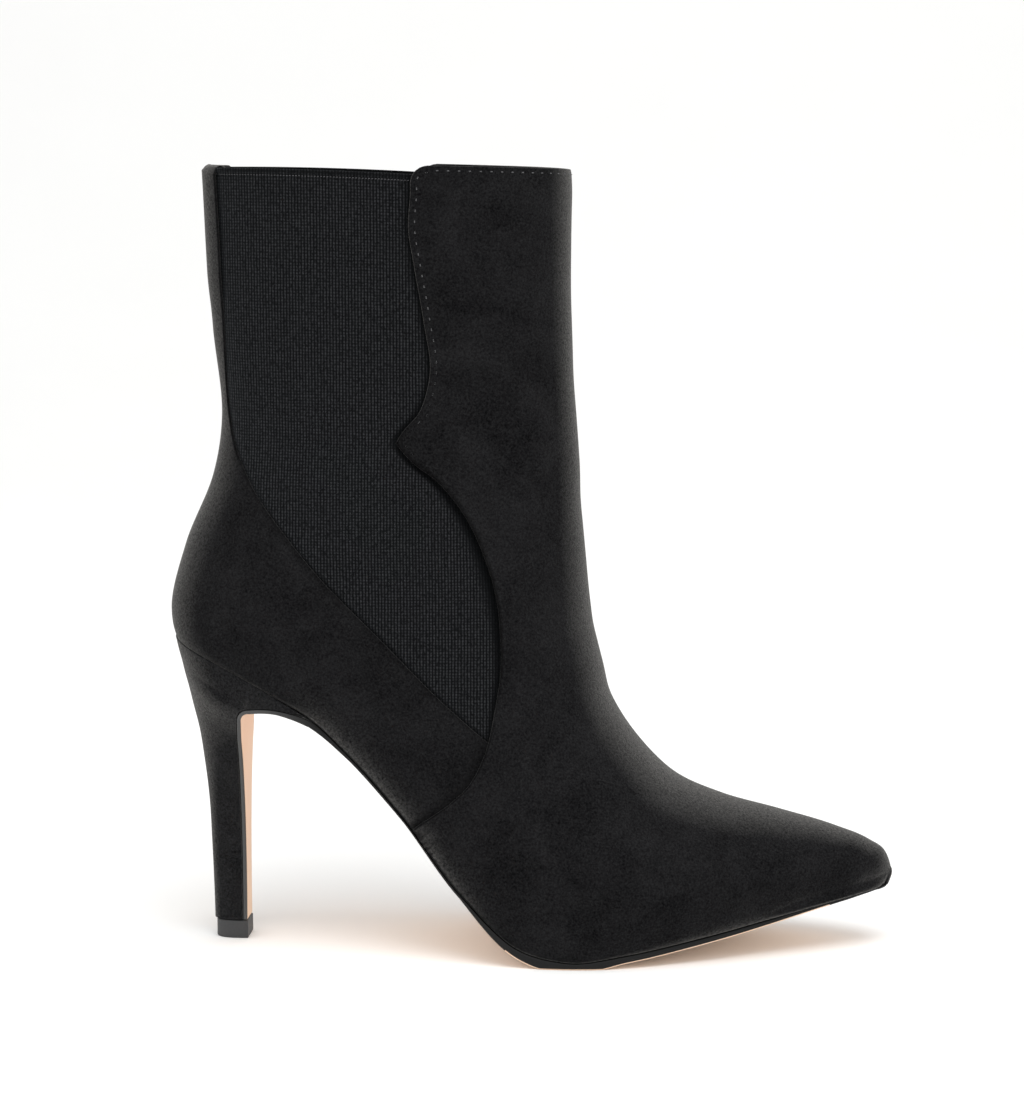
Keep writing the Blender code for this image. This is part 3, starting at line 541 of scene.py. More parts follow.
def panel_shell(rows, face, fold, back, relief):
    """A function of the side, -1 or 1, that gives the outer and inner half grids of a folded panel.

    Across a row the border is a half round of radius `fold`; behind it the face lies at `face` plus the
    relief, and the back goes from the fold's own thickness to `back`.
    """
    unit = rows.unit()
    inset = np.concatenate([[FOLD_UNDER], fold * (1 - np.cos(FOLD_TURNS))])
    edge_depth = np.concatenate([[2 * fold], fold * (1 - np.sin(FOLD_TURNS))])
    edge_share = inset[None, :] / unit
    spread = np.linspace(0, 1, PANEL_COLUMNS + 1)[None, 1:]
    share = np.concatenate([edge_share, edge_share[:, -1:] + (1 - edge_share[:, -1:]) * spread], axis=1)
    place, ring = rows.path(share)
    flat = np.zeros((len(unit), PANEL_COLUMNS))
    profile = np.concatenate([np.broadcast_to(edge_depth, edge_share.shape), flat], axis=1)
    under = np.linspace(0, 1, share.shape[1])[None, :]
    inner_share = edge_share[:, :1] + (1 - edge_share[:, :1]) * under
    inner_place, inner_ring = rows.path(inner_share)
    thick = 1 - ramp(inner_share * unit, FOLD_UNDER, 4 * FOLD_UNDER)
    inner_depth = face + 2 * fold + (back - face - 2 * fold) * thick

    def side(sign):
        ground = form(place, sign * ring)
        depth = profile + relief(ground, share * unit)
        depth = np.where(rows.depth[:, None] > 0, np.maximum(depth, rows.depth[:, None]), depth) + face
        outer = form(place, sign * ring, depth, face)
        inner = form(inner_place - rows.inner_drop[:, None], sign * inner_ring, inner_depth, face)
        return outer, inner

    return side


def both_sides(side):
    """Whole outer and inner grids from the lateral border over the middle to the medial border."""
    wholes = []
    for lateral, medial in zip(side(-1), side(1)):
        wholes.append(np.concatenate([lateral, medial[:, -2::-1]], axis=1))
    return wholes


def rear_edge():
    """Rear edge of the front panel from the sole to the collar, evenly spaced, its point kept sharp."""
    lower = even_line(smooth_line(side_points(FRONT_EDGE_LOWER), LINE_STEPS), EDGE_SPACING)
    upper = even_line(smooth_line(side_points(FRONT_EDGE_UPPER), LINE_STEPS), EDGE_SPACING)
    return np.concatenate([lower[::-1], upper[-2::-1]])


def margin_ring(place):
    """Ring where the turned-under margin of the upper ends, beneath the foot."""
    row = sections(place)
    half = np.minimum(row["base_lateral"], row["base_medial"])
    return 1 + np.minimum(MARGIN / half, MARGIN_MOST)


def front_rows():
    """Rows of the front panel: along the sole from the toe to the waist, then up the rear edge."""
    edge = rear_edge()
    place, ring, share = locate(edge)
    keep = share < 1
    edge = edge[keep]
    place = place[keep]
    ring = ring[keep]
    toe_places = np.arange(0, place[0], PLACE_STEP)
    turned = np.linspace(margin_ring(place[0]), 1, TURNED_ROWS + 1)[:-1]
    all_place = np.concatenate([toe_places, np.full(len(turned), place[0]), place])
    all_ring = np.concatenate([margin_ring(toe_places), turned, ring])
    heights, ridge_heights = np.array(FRONT_ROW_ENDS).T * MM
    fan = np.linspace(0, ROW_OF["brim"], SEARCH_STEPS)
    ridge_fan = sections(fan)["ridge_z"]
    low_height = np.interp(edge[0, 1], heights, ridge_heights)
    low_place = np.interp(low_height, ridge_fan, fan)
    toe_end = low_place - TURNED_SPAN
    toe_far = np.interp(toe_places, (0, ROW_OF["ball"], place[0]), (0, ROW_OF["ball"], toe_end))
    turned_far = np.linspace(toe_end, low_place, len(turned) + 2)[1:-1]
    edge_far = np.interp(np.interp(edge[:, 1], heights, ridge_heights), ridge_fan, fan)
    far = np.concatenate([toe_far, turned_far, edge_far])
    return PanelRows(all_place, all_ring, far, mid_ring=np.zeros(len(far)), mid_share=1.0, far_ring=0.0)


# Middle height and half-height of the stretch where the front panel's edge stands proud of the elastic
LOWER_ARC = (128.0 * MM, 60.0 * MM)
STRIP_SWELL = 0.55 * MM
SWELL_HEIGHTS = (202.0 * MM, 218.0 * MM)
COLLAR_EASE = 0.6 * MM
EASE_HEIGHT = 9.0 * MM
TROUGH = 0.2 * MM
TROUGH_WIDTH = 0.5 * MM
EDGE_SWELL = 0.12 * MM
ARC_SWELL = 0.4 * MM
SWELL_FADE = 1.6 * MM
# The last's bottom edge from the toe to the seat
BASE_EDGE = sections(np.arange(0, ROW_OF["seat_front"], 0.1))


def toe_drop(x):
    """How far the upper's lower edge and the sole hang below the last near the toe."""
    return TOE_DROP * ramp(x, *TOE_DROP_REACH)


def waist_drop(x):
    """How far the upper's lower edge and the sole hang below the last along the waist."""
    return WAIST_DROP * ramp(x, *WAIST_DROP_BACK) * ramp(x, *WAIST_DROP_FRONT)


def above_edge(points):
    """Height of points of the upper above the last's bottom edge."""
    return points[..., 2] - np.interp(points[..., 0], BASE_EDGE["base_x"][::-1], BASE_EDGE["base_z"][::-1])


def edge_hang(points):
    """How far points of the upper hang: fully at its lower edge, and less and less above it."""
    x = points[..., 0]
    above = above_edge(points)
    return toe_drop(x) * ramp(above, *TOE_DROP_HEIGHTS) + waist_drop(x) * ramp(above, *WAIST_DROP_HEIGHTS)


def collar_ease(points):
    """How far points of the front panel lean in towards the collar's rim."""
    return COLLAR_EASE * np.clip((points[..., 2] - COLLAR_HEIGHT) / EASE_HEIGHT + 1, 0, 1) ** 2


def stitched_relief(settings):
    """A function for the depth of the front panel's relief at points some inset from its border.

    It adds up a soft trough under the stitches, a proud edge, a collar that leans in, a lower edge that
    hangs and the creases.
    """
    def relief(points, inset):
        row = settings.stitch_inset
        trough = TROUGH * np.exp(-((inset - row) / TROUGH_WIDTH) ** 2)
        arc = ramp(np.abs(points[..., 2] - LOWER_ARC[0]), 0.0, LOWER_ARC[1])
        swell = (EDGE_SWELL + ARC_SWELL * arc) * np.exp(-np.maximum(inset - row / 2, 0) / SWELL_FADE)
        lean = collar_ease(points) - edge_hang(points)
        return trough - swell * (inset < MARGIN * 2) + lean + crease_depth(points)
    return relief


def toe_cap(outer, inner):
    """Close the toe: the first row shrinks to its middle along a squared quarter round that stands forward
    and sags."""
    caps = []
    for grid in (outer, inner):
        middle = outer[0].mean(axis=0)
        shrink = np.cos(CAP_TURNS)[:, None, None] ** CAP_SQUARE
        forward = np.array([TOE_BULGE, 0, -TOE_SAG]) * np.sin(CAP_TURNS)[:, None, None] ** CAP_SQUARE
        caps.append(np.concatenate([middle + (grid[0] - middle) * shrink + forward, grid]))
    return caps


def counter_rows():
    """Rows of the counter: down the strip and the seam, then along a lap that the front panel hides."""
    seam = even_line(smooth_line(side_points(COUNTER_SEAM), LINE_STEPS), EDGE_SPACING)
    lap = even_line(smooth_line(side_points(COUNTER_LAP), LAP_STEPS), EDGE_SPACING)
    border = np.concatenate([seam, lap[1:]])
    border = border[border[:, 1] < STRIP_TOP]
    place, ring, share = locate(border)
    keep = share < 1
    border = border[keep]
    heights, spine = np.array(COUNTER_ROW_ENDS).T
    far = np.interp(border[:, 1], heights * MM, spine)
    rows = PanelRows(place[keep][::-1], ring[keep][::-1], far[::-1],
                     mid_ring=np.ones(keep.sum()), mid_share=COUNTER_DOWN, far_ring=2.0)
    rows.least_unit = LAP_UNIT
    return rows


# Where painted shade darkens the suede along its lower edge and beside the front panel, and where a
# painted
# sheen lightens it at the waist: heights above the lower edge and places along the boot, full and none
EDGE_SLOPE = 1.3
HEM_SHADE_HEIGHTS = (0.2 * MM, 0.9 * MM)
HEM_SHADE_REACH = (98.0 * MM, 116.0 * MM)
FOLD_SHADE = 0.6
BESIDE_SHADE = 0.9
BESIDE_WIDTH = 3.6 * MM
BESIDE_HEIGHTS = (70.0 * MM, 80.0 * MM)
SHEEN_BAND_FADE = 3.2 * MM
SHEEN_BAND_BACK = (54.0 * MM, 38.0 * MM)
SHEEN_BAND_FRONT = (86.0 * MM, 110.0 * MM)
SHEEN_BAND = 0.5


def suede_marks(points, folded, beside):
    """Painted shade and painted sheen of a panel's points.

    The painted shade is `folded` on the fold of its two borders, `beside` elsewhere and full along its
    lower edge behind the tread. Above that edge a painted sheen lightens the nap at the waist.
    """
    fold = len(FOLD_TURNS) + 1
    shade = np.array(np.broadcast_to(beside, folded.shape))
    shade[:, :fold] = folded[:, :fold]
    shade[:, -fold:] = folded[:, -fold:]
    x = points[..., 0]
    above = np.maximum(above_edge(points) + EDGE_SLOPE * waist_drop(x), 0)
    shade = np.maximum(shade, ramp(above, *HEM_SHADE_HEIGHTS) * ramp(x, *HEM_SHADE_REACH))
    sheen_band = SHEEN_BAND * np.exp(-above / SHEEN_BAND_FADE) * ramp(x, *SHEEN_BAND_BACK) * ramp(x, *SHEEN_BAND_FRONT)
    return {"seam_shade": np.tile(shade.ravel(), 2), "painted_sheen_band": np.tile(sheen_band.ravel(), 2)}


def beside_front_panel(points):
    """Painted shade of the counter close behind the front panel's lower edge."""
    edge = rear_edge()
    behind = np.interp(points[..., 2], edge[:, 1], edge[:, 0]) - points[..., 0]
    return BESIDE_SHADE * np.exp(-(behind / BESIDE_WIDTH) ** 2) * ramp(points[..., 2], *BESIDE_HEIGHTS)


def make_front_panel(settings, finish):
    """The front panel: rows of the last from its folded rear edge to the ridge, with a rolled collar."""
    rows = front_rows()
    rows.add_rolled_end(COLLAR_ROLL)
    side = panel_shell(rows, 0.0, settings.edge_fold, PANEL_BACK, stitched_relief(settings))
    outer, inner = toe_cap(*both_sides(side))
    points, quads = shell(outer, inner)
    height = outer[..., 2]
    arc = ramp(np.abs(height - LOWER_ARC[0]), 0.5 * LOWER_ARC[1], LOWER_ARC[1])
    # Painted shade on the fold along the lower arc and low down, and a painted sheen at the waist
    marks = suede_marks(outer, np.maximum(arc, ramp(height, *BESIDE_HEIGHTS)), 0.0)
    new_piece("front_panel", points, quads, finish, ("upper",), marks=marks)


def strip_relief(points, inset):
    """Relief of the counter: a strip that fills out upwards, a lower edge that hangs, the creases."""
    swell = STRIP_SWELL * (1 - ramp(points[..., 2], *SWELL_HEIGHTS))
    return crease_depth(points) - swell - edge_hang(points)


def make_counter(finish):
    """The counter: rows of the last from its seam to the middle of back and seat, its strip rolled in."""
    rows = counter_rows()
    rows.add_rolled_end(STRIP_ROLL)
    outer, inner = both_sides(panel_shell(rows, COUNTER_FACE, COUNTER_FOLD, PANEL_BACK, strip_relief))
    points, quads = shell(outer, inner)
    # Painted shade on the fold, behind the front panel's edge and along the lower edge, and a painted
    # sheen at the waist
    marks = suede_marks(outer, np.full(outer.shape[:2], FOLD_SHADE), beside_front_panel(outer))
    new_piece("counter_panel", points, quads, finish, ("upper",), marks=marks)


# Elastic sides, lining and sock

GORE_ROWS = 130
GORE_HEM_ROWS = 26
GORE_HEM_ZONE = 4.0 * MM
GORE_COLUMNS = 56
GORE_SEAM_LAP = 1.8 * MM
GORE_EDGE_LAP = 3.0 * MM
GORE_BOTTOM = 71.5 * MM
GORE_THICKNESS = 0.6 * MM
GORE_RIM = 0.3 * MM
GORE_RIM_TURNS = np.radians((0, 30, 60, 90, 120, 150, 180))
GORE_SPREAD = 0.12
HEM_HEIGHT = 1.35 * MM
HEM_RISE = 0.4 * MM
GROOVE = 0.2 * MM
GROOVE_DROP = 0.3 * MM
GROOVE_WIDTH = 0.35 * MM
# How the elastic dips towards the counter's seam and the front panel's edge, and the painted shade that
# # darkens it there. Along the edge's lower arc it does both more.
SEAM_DIP = 0.45 * MM
SEAM_DIP_REACH = (-0.2 * MM, 1.0 * MM)
SEAM_SHADE = 0.5
SEAM_SHADE_WIDTH = 0.9 * MM
EDGE_DIP = 0.5 * MM
ARC_DIP = 0.6 * MM
EDGE_DIP_WIDTH = 1.8 * MM
EDGE_SHADE = 0.88
EDGE_SHADE_WIDTH = 1.2 * MM
ARC_SHADE_WIDTH = 2.2 * MM


def gore_grids(sign):
    """Outer and inner grids of an elastic panel, its cloth coordinates and the painted shade beside its
    seams.

    Rows lie level between the counter seam and the front panel's edge, and reach under both. The face
    dips towards the two edges, swells in a hem along the top and rolls over a rim. The cloth coordinate u
    is the length along the row counted back from the front edge, and v the height of the row's front end.
    """
    seam = smooth_line(side_points(COUNTER_SEAM), LINE_STEPS)
    edge = rear_edge()
    hem_start = 1 - GORE_HEM_ZONE / (GORE_TOP_FRONT - GORE_BOTTOM)
    cloth = np.concatenate([np.linspace(0, hem_start, GORE_ROWS + 1)[:-1],
                            np.linspace(hem_start, 1, GORE_HEM_ROWS + 1)])
    level = np.concatenate([cloth, np.ones(len(GORE_RIM_TURNS))])
    rim_rise = np.concatenate([np.zeros(len(cloth)), GORE_RIM * np.sin(GORE_RIM_TURNS)])
    rim_depth = np.concatenate([np.zeros(len(cloth)), GORE_RIM * (1 - np.cos(GORE_RIM_TURNS))])
    height = GORE_BOTTOM + (GORE_TOP_FRONT - GORE_RIM - GORE_BOTTOM) * level
    seam_x = np.interp(height, seam[::-1, 1], seam[::-1, 0])
    edge_x = np.maximum(np.interp(height, edge[:, 1], edge[:, 0]), seam_x)
    start = seam_x - GORE_SEAM_LAP
    stop = edge_x + GORE_EDGE_LAP
    across = np.linspace(0, 1, GORE_COLUMNS + 1)
    across = across - GORE_SPREAD * np.sin(2 * math.pi * across) / (2 * math.pi)
    x = start[:, None] + (stop - start)[:, None] * across
    forward = np.clip((x - start[-1]) / (stop[-1] - start[-1]), 0, 1)
    tilt = (GORE_TOP_BACK - GORE_TOP_FRONT) * (1 - forward**2)
    z = height[:, None] + tilt * level[:, None] ** 3 + rim_rise[:, None]
    place, ring, _ = locate(np.stack([x, z], axis=-1))
    from_seam = x - seam_x[:, None]
    from_edge = edge_x[:, None] - x
    below_top = (height[-1] - height)[:, None]
    arc = ramp(np.abs(z - LOWER_ARC[0]), 0.0, LOWER_ARC[1])
    hem = np.sqrt(ramp(below_top, 0.4 * HEM_HEIGHT, HEM_HEIGHT))
    groove = np.exp(-((below_top - HEM_HEIGHT - GROOVE_DROP) / GROOVE_WIDTH) ** 2)
    depth = (GORE_FACE + SEAM_DIP * ramp(from_seam, *SEAM_DIP_REACH)
             + (EDGE_DIP + ARC_DIP * arc) * np.exp(-(np.maximum(from_edge, 0) / EDGE_DIP_WIDTH) ** 2)
             - HEM_RISE * hem * (from_edge > 0) + GROOVE * groove + rim_depth[:, None])
    outer = form(place, sign * ring, depth)
    back = np.minimum(depth + GORE_THICKNESS - 2 * rim_depth[:, None], LINING_FACE)
    inner = form(place, sign * ring, np.maximum(back, depth))
    steps = np.linalg.norm(np.diff(outer, axis=1), axis=2)
    length = np.concatenate([np.zeros((len(x), 1)), np.cumsum(steps, axis=1)], axis=1)
    u = stop[:, None] - (length[:, -1:] - length)
    v = np.broadcast_to((height + rim_rise + rim_depth)[:, None], u.shape)
    uv = np.stack([u, v], axis=-1).reshape(-1, 2)
    # Painted shade: darker beside the front panel's edge and the counter's seam
    beside_edge = np.exp(-(np.maximum(from_edge, 0) / (EDGE_SHADE_WIDTH + ARC_SHADE_WIDTH * arc)) ** 4)
    beside_seam = np.exp(-(np.maximum(from_seam, 0) / SEAM_SHADE_WIDTH) ** 2)
    shade = (1 - EDGE_SHADE * beside_edge) * (1 - SEAM_SHADE * beside_seam)
    return outer, inner, np.concatenate([uv, uv]), np.tile(shade.ravel(), 2)


def make_gore(name, sign, finish):
    """An elastic side: a thin wall of level rows on the last, lateral for sign -1 and medial for 1."""
    outer, inner, uv, shade = gore_grids(sign)
    points, quads = shell(outer, inner)
    new_piece(f"{name}_elastic", points, quads, finish, (name,), uv=uv,
              marks={"seam_shade": shade})


LINING_TOE = 1.4
LINING_TOP = 18.9
LINING_ROWS = 150
LINING_COLUMNS = 120


def make_lining(finish):
    """The lining: the last itself, one wall thinner, open at the collar."""
    place = np.linspace(LINING_TOE, LINING_TOP, LINING_ROWS + 1)[:, None]
    ring = np.linspace(-2, 2, LINING_COLUMNS + 1)[None, :]
    outer = form(place, ring, LINING_FACE, LINING_FACE - LINING_FLOOR)
    inner = form(place, ring, LINING_BACK, LINING_FACE - LINING_FLOOR)
    points, quads = shell(outer, inner, tie_columns=False)
    new_piece("lining", points, quads, finish, ("upper",))


SOCK_PLACES = (1.8, 12.5)
SOCK_ROWS = 120
SOCK_COLUMNS = 40


def base_frame(places):
    """Side view of the base line and its unit normal on the foot's side."""
    row = sections(places)
    base = np.stack([row["base_x"], row["base_z"]], axis=1)
    run = np.gradient(base, axis=0)
    run /= np.hypot(run[:, 0], run[:, 1])[:, None]
    return row, base, np.stack([run[:, 1], -run[:, 0]], axis=1)


def make_sock(finish):
    """The insole sock: a thin plate on the base of the last, with its top drawn down all round."""
    places = np.linspace(*SOCK_PLACES, SOCK_ROWS + 1)
    row, base, up = base_frame(places)
    across = np.linspace(-1, 1, SOCK_COLUMNS + 1)[None, :]
    half = np.where(across < 0, row["base_lateral"][:, None], row["base_medial"][:, None]) - SOCK_INSET
    y = across * half
    grids = []
    for height in (SOCK_TOP, SOCK_BOTTOM):
        x = base[:, :1] + up[:, :1] * height
        z = base[:, 1:] + up[:, 1:] * height
        grids.append(np.stack(np.broadcast_arrays(x, y, z), axis=-1))
    outer, inner = grids
    border = (outer + inner) / 2
    for edge in (np.s_[0], np.s_[-1], np.s_[:, 0], np.s_[:, -1]):
        outer[edge] = border[edge]
    points, quads = shell(outer, inner)
    new_piece("insole_sock", points, quads, finish, ("insole",))


# Heel and sole

HEEL_VALUES = read_table(HEEL, HEEL_UNITS)
SOLE_TABLE = dict(zip(OUTSOLE_COLUMNS, np.array([row[1:] for row in OUTSOLE]).T * MM))
HEEL_LAST = len(HEEL) - 1
TURN_STEPS = 15
FLAP_ROWS = 45
WING_STEPS = 8
# Shares of the painted side's height at which it has a line of points, and how far each line stands out
SIDE_SHARES = (0.0, 0.12, 0.5, 0.88)
SIDE_BULGE = (-0.25 * MM, -0.04 * MM, 0.0, -0.02 * MM)
SOLE_ACROSS = 14
NOSE_TURNS = np.radians((84, 65, 45, 22))
BREAST_CLEAR = 0.3 * MM
BREAST_REACH = 78.0 * MM
SEAT_GAP = 0.25 * MM
HEEL_SEARCH = 240
HEEL_COLUMNS_AROUND = 97
HEEL_ROWS = 90
BREAST_COLUMNS = 7
RIM_ROUND = 0.3 * MM
BACK_ROW = 0.6
SEAT_ROW = 0.4
WING_ROW = 0.72
BACK_ARC = 0.4
ARC_CLEAR = 0.02
ROW_CROWD = 1.15
HEEL_RIM_TURNS = np.radians((90, 60, 30))
CUP_ROW = 6
CUP_INSET = 1.5 * MM
WELL_ROW = 16
WELL_SHARE = 0.6
HEEL_PROUD = 0.12 * MM
WRAP_STEPS = 6
WRAP_SLOPE = -0.35
WRAP_REACH = (HEEL_ARC_SHARE - 0.02, HEEL_ARC_SHARE + 0.12)
WRAP_SMOOTH = 4
WRAP_PROBE = 0.1 * MM
WRAP_MOST = 2.4 * MM
WRAP_FADE = 16.0 * MM


def heel_table(rows):
    """The heel's ring table at any rows, one array for each column."""
    rows = np.asarray(rows, float)
    flat = rows.ravel()
    knots = chord_knots(HEEL_VALUES[:, 0:2])
    index = np.arange(len(HEEL), dtype=float)
    back = smooth(knots, HEEL_VALUES[:, 0:2], np.interp(flat, index, knots))
    rest = smooth(index, HEEL_VALUES[:, 2:], flat)
    read = np.concatenate([back, rest], axis=1)
    return {name: read[:, column].reshape(rows.shape) for column, name in enumerate(HEEL_COLUMNS)}


def swing(points):
    """The stem of the heel and the flap on it turn their front a little to the lateral side."""
    share = ramp(points[..., 2], *SWING_HEIGHTS) * ramp(points[..., 0], *SWING_REACH)
    swung = points.copy()
    swung[..., 0] += points[..., 1] * math.tan(HEEL_SWING) * share
    return swung


def floor_normals(line):
    """Unit normals of a side-view line that runs from the toe to the heel, on its floor side."""
    slope = np.gradient(line, axis=0)
    length = np.hypot(slope[:, 0], slope[:, 1])[:, None]
    return np.stack([-slope[:, 1], slope[:, 0]], axis=1) / length


def outsole_line():
    """Side view of the outsole's foot side from the toe to the top lift, and its two half-widths."""
    places = np.arange(OUTSOLE_TOE + NOSE_PLACES, ARCH_END, PLACE_STEP)
    row = sections(places)
    base = np.stack([row["base_x"], row["base_z"]], axis=1)
    drop = toe_drop(base[:, :1]) + waist_drop(base[:, :1])
    foot = base + floor_normals(base) * (SOLE_GAP + drop)
    turn = np.linspace(math.pi / 2, math.pi, TURN_STEPS)
    centre = np.array([BREAST_X + TURN_RADIUS, TURN_TOP - TURN_RADIUS])
    arc = centre + TURN_RADIUS * np.stack([np.cos(turn), np.sin(turn)], axis=1)
    flap_z = np.linspace(TURN_TOP - TURN_RADIUS, FLAP_BOTTOM, FLAP_ROWS + 1)[1:]
    flap = np.stack([np.full_like(flap_z, BREAST_X), flap_z], axis=1)
    wing_knots = np.concatenate([foot[[-12, -1]], np.array(WING_LINE) * MM, arc[[0, 3]]])
    wing = smooth_line(wing_knots, WING_STEPS)[WING_STEPS + 1:-WING_STEPS - 1]
    heel_part = np.concatenate([wing, arc, flap])
    stand = np.interp(row["base_x"], SOLE_TABLE["x"], SOLE_TABLE["edge"])
    heel_widths = heel_half_width(heel_part)
    fade = ramp(row["base_x"], foot[-1, 0], WING_FADE)
    widths = []
    for half in (row["base_lateral"] + stand, row["base_medial"] + stand):
        gap = heel_widths[0] - half[-1]
        widths.append(np.concatenate([half + gap * fade, heel_widths]))
    return np.concatenate([foot, heel_part]), *widths


def heel_half_width(points):
    """Half-width of the heel at side-view points, found by which ring's plane passes through each."""
    ring = heel_table(np.linspace(0, HEEL_LAST, HEEL_SEARCH))
    run_x = ring["front_x"] - ring["back_x"]
    run_z = ring["front_z"] - ring["back_z"]
    above = run_x * (points[:, 1:] - ring["back_z"]) - run_z * (points[:, :1] - ring["back_x"])
    first = (above > 0).argmax(axis=1).clip(1)
    pick = np.arange(len(points))
    low = above[pick, first - 1]
    high = above[pick, first]
    share = np.clip(-low / (high - low), 0, 1)
    return ring["half"][first - 1] + (ring["half"][first] - ring["half"][first - 1]) * share


def make_outsole(leather, paint):
    """The outsole: a plate under the foot line with a painted side, a bare bevel and a bare underside."""
    line, lateral, medial = outsole_line()
    thickness = np.interp(line[:, 0], SOLE_TABLE["x"], SOLE_TABLE["thickness"])[:, None]
    normals = floor_normals(line)

    def lowered(distance, least):
        """The foot line moved towards the floor, but not below a least height."""
        moved = line + normals * distance
        moved[:, 1] = np.maximum(moved[:, 1], least)
        return moved

    def column(profile, width):
        """One line of points along the sole from its side view and its width."""
        return np.stack([profile[:, 0], width, profile[:, 1]], axis=1)

    side_height = thickness - OUTSOLE_BEVEL
    levels = [lowered(side_height * share, OUTSOLE_BEVEL * (2 - share)) for share in SIDE_SHARES]
    side = lowered(side_height, OUTSOLE_BEVEL)
    floor = lowered(thickness, 0.0)
    lateral_side = [column(level, -(lateral + out)) for level, out in zip(levels, SIDE_BULGE)]
    medial_side = [column(level, medial + out) for level, out in zip(levels, SIDE_BULGE)]
    across = np.linspace(0, 1, SOLE_ACROSS)
    low_lateral = OUTSOLE_BEVEL - lateral
    low_medial = medial - OUTSOLE_BEVEL
    bottom = [column(floor, low_lateral + (low_medial - low_lateral) * share) for share in across]
    top = [column(line, (medial + SIDE_BULGE[0]) * (1 - share) - (lateral + SIDE_BULGE[0]) * share)
           for share in across[1:-1]]
    columns = lateral_side + [column(side, -lateral)] + bottom + [column(side, medial)]
    columns += medial_side[::-1] + top
    rings = swing(np.stack(columns, axis=1))
    ahead = np.array([1.0, 0.0, (line[0, 1] - line[3, 1]) / (line[0, 0] - line[3, 0])])
    nose = []
    for turn in NOSE_TURNS:
        ring = rings[0] * (1.0, math.cos(turn), 1.0) + ahead * NOSE_LENGTH * math.sin(turn)
        ring[:, 2] += (ring[:, 2].max() - ring[:, 2]) * NOSE_THIN * (1 - math.cos(turn))
        nose.append(ring)
    rings = np.concatenate([np.stack(nose), rings])
    points, quads, caps = tube(rings)
    bevel = len(SIDE_SHARES)
    painted = np.ones(len(columns), int)
    painted[bevel + 1:bevel + SOLE_ACROSS] = 0
    index = np.tile(painted, (len(rings) - 1, 1))
    bare = (rings[:-1, 0, 0] > BARE_BEVEL[0]) & (rings[:-1, 0, 0] < BARE_BEVEL[1])
    index[np.ix_(bare, (bevel, bevel + SOLE_ACROSS))] = 0
    index = np.concatenate([index.ravel(), [1, 0]])
    new_piece("outsole_leather", points, quads, (leather, paint), ("outsole",),
              caps=caps, index=index)


def front_shares(rows):
    """Share of each heel ring at which the sole's flap cuts it."""
    line = outsole_line()[0]
    line = line - floor_normals(line) * BREAST_CLEAR
    line = np.concatenate([line[line[:, 0] < BREAST_REACH], line[-1:] * (1.0, 0.0)])
    ring = heel_table(rows)
    run_x = (ring["front_x"] - ring["back_x"])[:, None]
    run_z = (ring["front_z"] - ring["back_z"])[:, None]
    from_x = line[None, :, 0] - ring["back_x"][:, None]
    from_z = line[None, :, 1] - ring["back_z"][:, None]
    above = run_x * from_z - run_z * from_x
    share = (from_x * run_x + from_z * run_z) / (run_x**2 + run_z**2)
    crosses = (above[:, :-1] * above[:, 1:] <= 0) & (share[:, :-1] > 0)
    last = above.shape[1] - 2 - crosses[:, ::-1].argmax(axis=1)
    pick = np.arange(len(rows))
    before = above[pick, last]
    after = above[pick, last + 1]
    found = share[pick, last] + (share[pick, last + 1] - share[pick, last]) * before / (before - after)
    return np.where(crosses.any(axis=1), found, 1.0)


def heel_points(rows, around):
    """Points of the heel's side: around runs from -1, lateral front, over 0, the back, to 1, medial front.

    Within HEEL_ARC_SHARE the ring is half a superellipse, and from there it runs straight to the flap.
    """
    rows, around = np.broadcast_arrays(rows, around)
    ring = heel_table(rows)
    fine = np.linspace(0, HEEL_LAST, HEEL_SEARCH)
    front = np.interp(rows, fine, front_shares(fine))
    reach = np.abs(around)
    turn = np.clip(reach / HEEL_ARC_SHARE, 0, 1) * math.pi / 2
    straight = np.clip((reach - HEEL_ARC_SHARE) / (1 - HEEL_ARC_SHARE), 0, 1)
    arc = np.minimum(ring["arc"], front - ARC_CLEAR)
    share = arc * (1 - np.cos(turn) ** (2 / HEEL_ROUND)) + (front - arc) * straight
    width = np.sign(around) * np.sin(turn) ** (2 / HEEL_ROUND)
    x = ring["back_x"] + (ring["front_x"] - ring["back_x"]) * share
    z = ring["back_z"] + (ring["front_z"] - ring["back_z"]) * share
    return np.stack([x, ring["half"] * width, z], axis=-1)


def under_upper(points):
    """How far points lie inside the counter's face, negative where they stand clear of it."""
    place, ring, share = locate(points[..., [0, 2]])
    width = np.abs(form(place, np.where(points[..., 1] < 0, -ring, ring))[..., 1])
    row = sections(place)
    span = np.hypot(row["base_x"] - row["ridge_x"], row["base_z"] - row["ridge_z"])
    inside = width - COUNTER_FACE + SEAT_GAP - np.abs(points[..., 1])
    above = (1 - share) * span + SEAT_GAP - COUNTER_FACE * back_share(place)
    return np.minimum(inside, above)


def wrap_offset(points, outward):
    """How far points of the heel's top edge move along `outward` to lie just outside the counter."""
    offset = np.zeros(len(points))
    for _ in range(WRAP_STEPS):
        here = under_upper(points + outward * offset[:, None])
        there = under_upper(points + outward * (offset + WRAP_PROBE)[:, None])
        slope = np.minimum((there - here) / WRAP_PROBE, WRAP_SLOPE)
        offset = np.clip(offset - (here + HEEL_PROUD) / slope, -WRAP_MOST, WRAP_MOST)
    return offset


